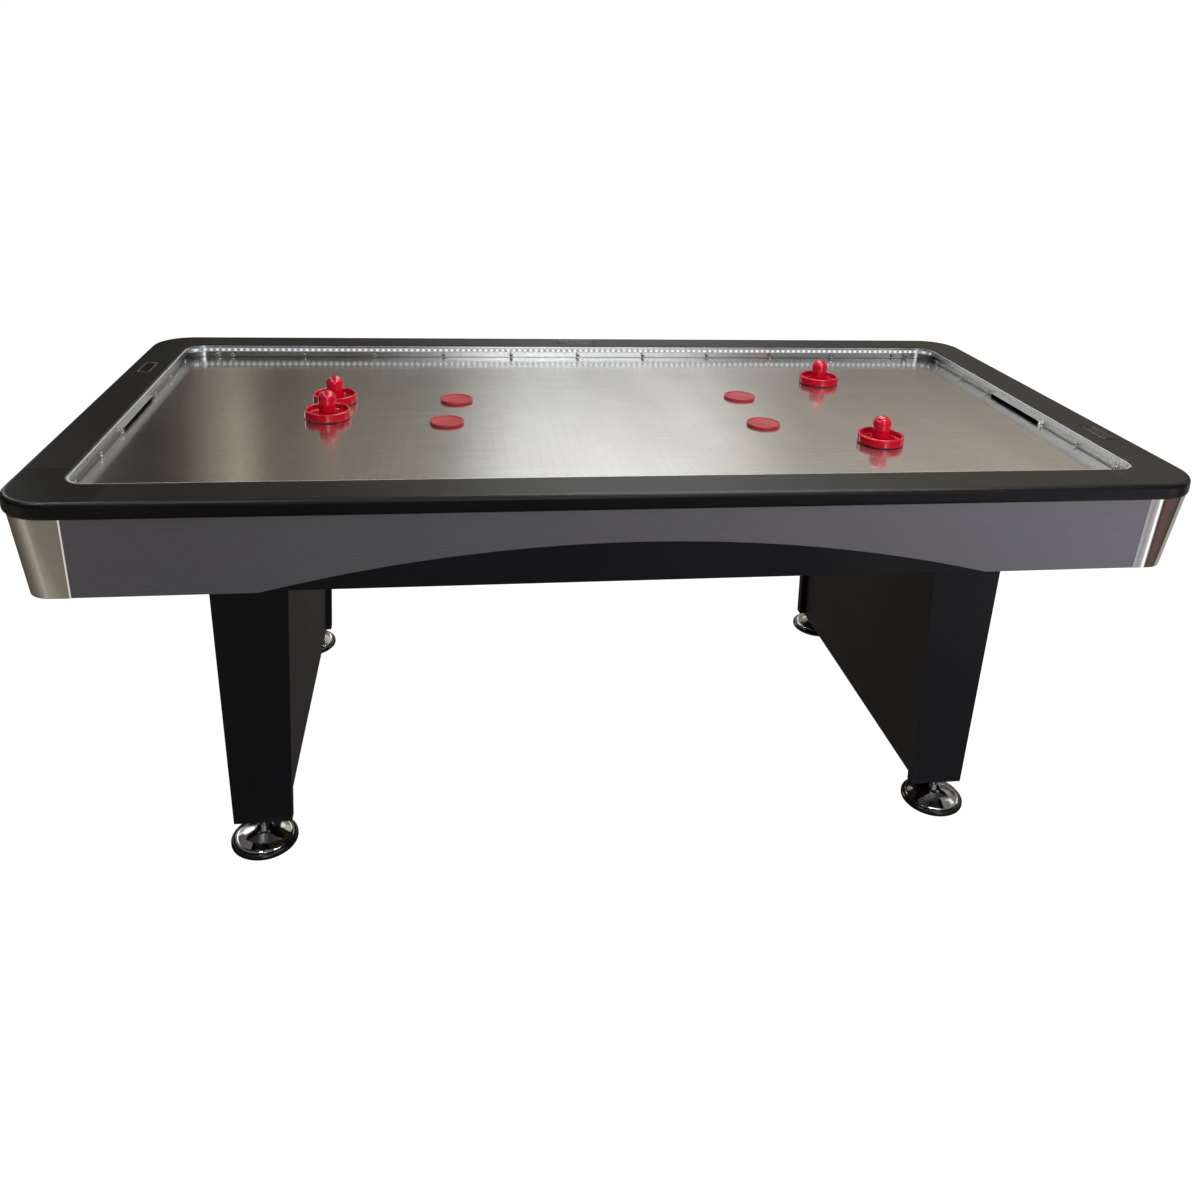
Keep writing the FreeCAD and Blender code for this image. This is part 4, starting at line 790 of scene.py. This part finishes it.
def feet():
    """Levellers: a rounded base ring, a chromed dome pressed over it, a threaded stud and its nut."""
    stud_radius, thread_pitch, thread_depth = 6 * MM, 1.75 * MM, 0.75 * MM
    for corner in CORNERS:
        pad_low, pad_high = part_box(f"{corner}_foot_pad")
        dome_low, dome_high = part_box(f"{corner}_foot_dome")
        stud_low, stud_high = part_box(f"{corner}_foot_stud")
        middle = centre_of(f"{corner}_foot_dome")
        base = Matrix.Translation(Vector((middle.x, middle.y, 0)))
        r = (pad_high.x - pad_low.x) / 2 / MM
        seat = dome_low.z / MM
        pad = rounded([(0, 0.6, 0), (r - 9, 0.6, 0.5), (r - 8, 0, 0.5), (r - 3.5, 0, 2.0), (r, 3.5, 3.5),
                       (r, seat - 4.5, 3.5), (r - 4.0, seat - 0.2, 3.0), (r - 9.5, seat, 1.5),
                       (r - 12, seat - 1.0, 0.5), (r - 12, seat - 4, 0), (0, seat - 4, 0)], 6)
        verts, faces = lathe(pad, base)
        piece(f"{corner}_foot_base_ring", verts, faces, "foot_rubber", f"{corner}_foot", 40,
              (f"{corner}_foot_pad",))
        skirt = (dome_high.x - dome_low.x) / 2 / MM
        top = dome_high.z / MM
        dome = rounded([(skirt - 4, seat - 0.6, 0), (skirt - 0.6, seat - 0.6, 0.8), (skirt, seat + 1.4, 1.3),
                        (skirt - 2.6, seat + 3.2, 1.2), (skirt - 4.6, seat + 2.2, 1.0),
                        (skirt - 7, seat + 2.9, 1.5), (skirt - 20, seat + 9.4, 60), (22, top - 3.2, 14),
                        (17, top - 0.3, 1.6), (12, top, 0.8), (6.6, top - 0.1, 0.5), (6.6, top - 3, 0.5),
                        (14, top - 4, 2), (skirt - 8, seat + 0.4, 3), (skirt - 4, seat - 0.6, 0)], 6)
        verts, faces = lathe(dome, base)
        piece(f"{corner}_foot_chrome_dome", verts, faces, "chrome", f"{corner}_foot", 40,
              (f"{corner}_foot_dome",))
        nut_radius = (stud_high.x - stud_low.x) / 2
        thread = threaded(stud_radius, dome_high.z - 5 * MM, stud_high.z, thread_pitch, thread_depth)
        nut = prism(hexagon(nut_radius - 0.1 * MM), dome_high.z + 0.6 * MM, dome_high.z + 9.4 * MM, 0.8 * MM)
        washer = rounded([(5.6, 0.2, 0), (9.4, 0.0, 0), (9.4, 0.8, 0.2), (5.6, 0.9, 0), (5.6, 0.2, 0)], 2)
        collar = lathe(washer, Matrix.Translation(Vector((0, 0, dome_high.z))), 48)
        verts, faces = joined([thread, nut, collar])
        verts = [base @ v for v in verts]
        piece(f"{corner}_foot_stud_and_nut", verts, faces, "screw_steel", f"{corner}_stud", 30,
              (f"{corner}_foot_stud",))


# -------- mallets and pucks

def mallets():
    """Each mallet is a red dish with a raised rim and a domed grip, standing on a ring of felt."""
    for place in PLACES:
        node = f"mallet_{place}"
        low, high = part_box(node)
        middle = centre_of(node)
        r = (high.x - low.x) / 2 / MM
        tall = (high.z - low.z) / MM
        base = Matrix.Translation(Vector((middle.x, middle.y, low.z)))
        knob = 22
        shoulder = tall - knob
        body = [(0, 1.5, 0), (r - 3.4, 1.5, 0.8), (r - 0.2, 2.6, 1.6), (r - 0.6, 21.6, 3.2),
                (r - 7.0, 21.9, 3.0), (r - 7.6, 7.0, 3.2), (knob + 3.5, 6.2, 3.0), (knob - 0.4, 12.0, 8.0),
                (knob - 1.6, 27.0, 30.0), (knob - 0.2, shoulder - 1.0, 6.0)]
        profile = rounded(body, 6)
        dome, steps = knob - 0.1, 16
        for step in range(1, steps + 1):
            angle = math.pi / 2 * step / steps
            radius = 0 if step == steps else dome * math.cos(angle) * MM
            profile.append((radius, (shoulder + dome * math.sin(angle)) * MM))
        verts, faces = lathe(profile, base, 112)
        piece(f"{node}_moulding", verts, faces, "mallet_red", f"{place}_mallet", 50, (node,))
        pad = rounded([(0, 0.05, 0), (r - 4.2, 0.05, 0.5), (r - 4.0, 1.5, 0.1), (0, 1.6, 0)], 3)
        verts, faces = lathe(pad, base, 112)
        piece(f"{node}_felt", verts, faces, "felt", f"{place}_mallet", 40)


def pucks():
    """Each puck is a disc with a recessed middle on both faces."""
    for place in PLACES:
        node = f"puck_{place}"
        low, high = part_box(node)
        middle = centre_of(node)
        r = (high.x - low.x) / 2 / MM
        tall = (high.z - low.z) / MM
        base = Matrix.Translation(Vector((middle.x, middle.y, low.z)))
        rim, step = r - 5.6, 1.8
        profile = rounded([(0, step, 0), (rim - 0.6, step, 0.4), (rim, 0.05, 0.4), (r - 0.05, 0.05, 0.8),
                           (r - 0.05, tall - 0.05, 1.2), (rim, tall - 0.05, 0.5),
                           (rim - 0.6, tall - step, 0.4), (0, tall - step, 0)], 5)
        verts, faces = lathe(profile, base, 112)
        piece(f"{node}_disc", verts, faces, "puck_red", f"{place}_puck", 50, (node,))


# -------- carried-over CAD nodes

def carried_over():
    """CAD nodes that are shown as they are, with materials and, on the boards, small rounded edges."""
    fascias = ("front_fascia", "rear_fascia", "end_fascias")
    frames = ("cross_beams", "leg_plates", "leg_rails")
    boards = ("front_apron", "rear_apron", "end_aprons", "left_leg_side_panels", "right_leg_side_panels",
              "left_leg_end_boards", "right_leg_end_boards")
    paint("rail_black", "front_rail", "rear_rail", "left_end_rail", "right_end_rail")
    paint("corner_black", "rail_corner_blocks")
    paint("graphite_laminate", *fascias)
    paint("black_laminate", *frames, *boards)
    paint("fibreboard", "playfield_board", "plenum_ribs", "plenum_floor")
    paint("corner_aluminium", "apron_corner_trims")
    paint("wall_aluminium", "wall_strips")
    paint("clear_acrylic", "side_liners", "goal_liners", "corner_liners")
    paint("light_strip", "light_strips")
    paint("screw_steel", "leg_bolts", "leveller_inserts")
    paint("black_plastic", "goal_chutes", "power_switch_frame", "leg_screw_caps", "blower_impeller")
    paint("grey_plastic", "blower_housing")
    paint("motor_steel", "blower_motor")
    paint("rocker_plastic", "power_rocker")
    paint("smoked_window", "score_windows")
    for name in fascias + frames:
        soften_edges(name, 0.6 * MM)
    for name in boards:
        soften_edges(name, 0.8 * MM)
    soften_edges("apron_corner_trims", 0.35 * MM)
    soften_edges("power_switch_frame", 1.2 * MM, 3)
    soften_edges("power_rocker", 0.8 * MM, 3)


# -------- camera, floor and light

def camera():
    """Stands where the photographer stood: turned a little right, tipped down, hardly rolled.

    The lens is shifted only while the camera is at that place, so that other views stay centred.
    """
    place = Vector((-0.3933, -2.5152, 1.6896))
    yaw, pitch, roll = 0.1518, 0.291, -0.0412
    shift = -0.1721
    ahead = Vector((math.sin(yaw) * math.cos(pitch), math.cos(yaw) * math.cos(pitch), -math.sin(pitch)))
    right = Vector((math.cos(yaw), -math.sin(yaw), 0))
    down = ahead.cross(right)
    across = right * math.cos(roll) + down * math.sin(roll)
    under = down * math.cos(roll) - right * math.sin(roll)
    turn = Matrix((across, -under, -ahead)).transposed().to_4x4()
    data = bpy.data.cameras.new("photo_camera")
    data.sensor_width = 36
    data.lens = 31.579
    data.clip_start = 0.05
    data.clip_end = 200
    made = bpy.data.objects.new("photo_camera", data)
    made.matrix_world = Matrix.Translation(place) @ turn
    bpy.context.scene.collection.objects.link(made)
    bpy.context.scene.camera = made
    drop = data.driver_add("shift_y").driver
    drop.type = "SCRIPTED"
    for axis in "xyz":
        variable = drop.variables.new()
        variable.name = axis
        variable.type = "TRANSFORMS"
        variable.targets[0].id = made
        variable.targets[0].transform_type = f"LOC_{axis.upper()}"
        variable.targets[0].transform_space = "WORLD_SPACE"
    drop.expression = (f"{shift} if abs(x - {place.x:.4f}) + abs(y - {place.y:.4f}) "
                       f"+ abs(z - {place.z:.4f}) < 0.01 else 0.0")


def area_light(name, place, aim, size, power, colour=(1, 1, 1)):
    """A rectangular lamp at a place, turned towards its aim."""
    data = bpy.data.lights.new(name, "AREA")
    data.shape = "RECTANGLE"
    data.size, data.size_y = size
    data.energy = power
    data.color = colour
    made = bpy.data.objects.new(name, data)
    made.location = place
    made.rotation_mode = "QUATERNION"
    made.rotation_quaternion = (Vector(aim) - Vector(place)).to_track_quat("-Z", "Y")
    bpy.context.scene.collection.objects.link(made)
    return made


def lights():
    """Broad lamps that reflections don't show, and small ceiling lamps that only reflections show."""
    broad = [
        area_light("side_key", (1.6, -2.9, 1.4), (0.4, -0.6, 0.6), (1.4, 1.2), 78, (0.94, 0.94, 1.0)),
        area_light("top_soft", (0.3, 0.0, 3.4), (0.2, 0.0, 0.9), (2.6, 1.6), 56, (1.0, 0.99, 0.96)),
        area_light("left_fill", (-3.6, -1.4, 1.6), (-1.0, 0.0, 0.6), (1.4, 1.2), 2.5, (1.0, 0.94, 0.88)),
        area_light("rear_fill", (-1.8, 3.2, 1.5), (-0.2, 0.6, 0.6), (1.6, 1.2), 40, (1.0, 0.98, 0.96)),
    ]
    for lamp in broad:
        lamp.visible_glossy = False
    ceiling = 3.0
    for i, (x, y) in enumerate(((0.5, 1.7), (0.8, 0.3), (1.1, -1.1))):
        bar = area_light(f"ceiling_bar_{i}", (x, y, ceiling), (x, y, 0), (1.5, 0.34), 21.0)
        bar.visible_diffuse = False
    for i, (x, y) in enumerate(((-1.9, 0.3), (-2.2, -0.7), (-1.2, -1.3))):
        spot = area_light(f"ceiling_spot_{i}", (x, y, ceiling), (x, y, 0), (0.36, 0.36), 7.0)
        spot.visible_diffuse = False


def reflection_cards(s):
    """Colours beyond the table's ends that the corner sheets mirror: soft on the left, banded on the right.

    The right ones fan out from the right front corner, so that the bands stand parallel to the sheet's seam.
    """
    x, y, z = s.axes()
    near, reach = 2.0, 2.6
    place = s.math("DIVIDE", s.math("ADD", y, near), reach, clamp=True)
    left = s.ramp(place, (0.0, (0.20, 0.18, 0.148)), (0.18, (0.22, 0.20, 0.165)), (0.30, (0.45, 0.41, 0.35)),
                  (0.42, (0.30, 0.27, 0.225)), (0.58, (0.16, 0.14, 0.11)), (0.80, (0.10, 0.085, 0.065)))
    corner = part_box("apron_corner_trims")[1]
    first_angle, fan_angle = math.radians(75), math.radians(180)
    turned = s.math("ARCTAN2", s.math("ADD", y, corner.y), s.math("SUBTRACT", x, corner.x))
    fan = s.math("DIVIDE", s.math("ADD", turned, first_angle), fan_angle, clamp=True)
    lilac, white, dull_red = (0.46, 0.45, 0.48), (1.5, 1.5, 1.5), (0.17, 0.09, 0.085)
    dark, brown = (0.03, 0.025, 0.02), (0.11, 0.09, 0.075)
    right = s.ramp(fan, (0.0, (0.36, 0.35, 0.38)), (0.163, lilac), (0.170, (0.20, 0.19, 0.20)),
                   (0.177, (0.46, 0.45, 0.47)), (0.210, (0.52, 0.51, 0.53)), (0.218, white), (0.236, white),
                   (0.243, (0.03, 0.025, 0.022)), (0.262, (0.08, 0.07, 0.065)), (0.272, dull_red),
                   (0.350, (0.14, 0.09, 0.08)), (0.365, brown), (0.445, (0.09, 0.075, 0.063)), (0.455, dark),
                   (0.472, dark), (0.484, (0.42, 0.40, 0.35)), (1.0, (0.35, 0.33, 0.30)))
    return s.blend(s.math("GREATER_THAN", x, 0.0), left, right)


def floor():
    """A plain pale floor: near white to the camera with a soft shadow, dark grey in reflections."""
    half = 60.0
    card_edge, rear_edge = 1.45, -0.35
    mesh = bpy.data.meshes.new("floor")
    corners = [(-half, -half, 0), (half, -half, 0), (half, half, 0), (-half, half, 0)]
    mesh.from_pydata([(x, y, -0.4 * MM) for x, y, z in corners], [], [[0, 1, 2, 3]])
    s = Shader("pale_floor")
    seen = s.node("ShaderNodeLightPath").outputs["Is Camera Ray"]
    speck = s.noise(2.0, 3.0)
    pale = s.blend(speck, (0.90, 0.90, 0.90), (0.92, 0.92, 0.92))
    matt = s.node("ShaderNodeBsdfDiffuse", {"Color": pale}).outputs[0]
    glow = s.node("ShaderNodeEmission", {"Color": (1, 1, 1, 1), "Strength": 1.21}).outputs[0]
    shown = s.mixed(0.82, matt, glow)
    grey = s.node("ShaderNodeBsdfDiffuse", {"Color": (0.085, 0.077, 0.070, 1)}).outputs[0]
    x, y, z = s.axes()
    mirrored = s.node("ShaderNodeLightPath").outputs["Is Glossy Ray"]
    aside = s.math("MULTIPLY", s.math("GREATER_THAN", s.math("ABSOLUTE", x), card_edge), mirrored)
    behind = s.math("MULTIPLY", s.math("GREATER_THAN", y, rear_edge), mirrored)
    card = s.node("ShaderNodeEmission", {"Color": reflection_cards(s), "Strength": 1.0}).outputs[0]
    faint = s.node("ShaderNodeEmission", {"Color": (1.0, 0.95, 0.9, 1),
                                          "Strength": s.math("MULTIPLY", behind, 0.11)}).outputs[0]
    plain = s.node("ShaderNodeAddShader", {0: grey, 1: faint}).outputs[0]
    hidden = s.mixed(aside, plain, card)
    mesh.materials.append(s.done(s.mixed(seen, hidden, shown)))
    made = bpy.data.objects.new("floor", mesh)
    bpy.context.scene.collection.objects.link(made)


def studio():
    """White to the camera; to everything else a soft room with one broad bright panel behind the table.

    Walls and ceiling are ramps round the compass, 0 degrees being straight behind the table. A second set of
    panels shows only in reflections of reflections, which is how the wall linings are seen.
    """
    world = bpy.data.worlds.new("studio")
    world.use_nodes = True
    bpy.context.scene.world = world
    s = Shader.__new__(Shader)
    s.tree = world.node_tree
    s.tree.nodes.clear()
    direction = s.node("ShaderNodeTexCoord").outputs["Generated"]
    parts = s.node("ShaderNodeSeparateXYZ", {0: direction})
    x, y, z = parts.outputs
    turn = s.math("ARCTAN2", x, y)
    turn = s.math("ADD", s.math("DIVIDE", turn, 2 * math.pi), 0.5)
    rise = s.math("DIVIDE", s.math("ARCSINE", z), math.pi / 2)

    def at(degrees):
        """Where a compass bearing lies on a ramp."""
        return degrees / 360 + 0.5

    def warm(level):
        return (level, 0.86 * level, 0.70 * level)

    def grey(level):
        return (level, level, level)

    panel, window = (1.5, 1.5, 1.45), (1.05, 1.05, 0.99)
    band = s.ramp(turn, (at(-180), grey(0.11)), (at(-176), (0.09, 0.088, 0.085)),
                  (at(-60), (0.12, 0.115, 0.11)), (at(-25), (0.05, 0.046, 0.040)),
                  (at(-14.4), warm(0.045)), (at(-13), warm(0.28)),
                  (at(-11.3), warm(0.60)), (at(-9.6), warm(0.11)), (at(-7), warm(0.27)),
                  (at(-4), (0.30, 0.28, 0.24)), (at(0), (0.40, 0.385, 0.34)), (at(4.5), (1.05, 1.07, 1.02)),
                  (at(14), window), (at(20), (0.52, 0.475, 0.41)), (at(34), (0.60, 0.53, 0.45)),
                  (at(60), (0.22, 0.21, 0.20)), (at(68), (0.20, 0.20, 0.19)), (at(71), panel),
                  (at(75), panel), (at(78), grey(0.12)), (at(180), grey(0.11)))
    twice = s.ramp(turn, (at(-180), 0.8), (at(-176), 0.0), (at(-42), 0.0), (at(-38), 2.2), (at(-28), 2.0),
                   (at(-25), 0.0), (at(150), 0.0), (at(152), 0.9), (at(155), 1.0), (at(158), 0.2),
                   (at(163), 0.2), (at(166), 1.9), (at(172), 3.0), (at(177), 3.6), (at(179.5), 1.4),
                   (at(180), 0.8))
    ceiling = s.ramp(turn, (at(-180), grey(0.20)), (at(-60), (0.12, 0.115, 0.11)),
                     (at(-17), (0.04, 0.036, 0.030)), (at(-5), (0.12, 0.12, 0.10)),
                     (at(4), (0.42, 0.42, 0.40)), (at(15), (0.40, 0.40, 0.38)), (at(23), (0.20, 0.19, 0.17)),
                     (at(60), (0.20, 0.20, 0.19)), (at(180), grey(0.20)))
    lift = s.ramp(rise, (0.0, 0.20), (10 / 90, 0.18), (13.5 / 90, 0.24), (15.5 / 90, 0.49), (18 / 90, 0.84),
                  (21 / 90, 1.0))
    depth = s.node("ShaderNodeLightPath").outputs["Ray Depth"]
    later = s.math("GREATER_THAN", depth, 1.5)
    wall = s.node("ShaderNodeMix", {0: later, 6: band, 7: twice}, data_type="RGBA", blend_type="ADD")
    dimmed = s.node("ShaderNodeMix", {0: 1.0, 6: wall.outputs[2], 7: lift}, data_type="RGBA",
                    blend_type="MULTIPLY")
    room = s.blend(s.ramp(rise, (28 / 90, 0.0), (55 / 90, 1.0)), dimmed.outputs[2], ceiling)
    seen = s.node("ShaderNodeLightPath").outputs["Is Camera Ray"]
    lit = s.node("ShaderNodeBackground", {"Color": room, "Strength": 1.0}).outputs[0]
    white = s.node("ShaderNodeBackground", {"Color": (1, 1, 1, 1), "Strength": 1.0}).outputs[0]
    s.node("ShaderNodeOutputWorld", {"Surface": s.mixed(seen, lit, white)})
    bpy.context.scene.view_settings.view_transform = "Standard"


carried_over()
playing_sheet()
liner_screws()
score_frames()
score_digits()
feet()
mallets()
pucks()
camera()
floor()
studio()
lights()
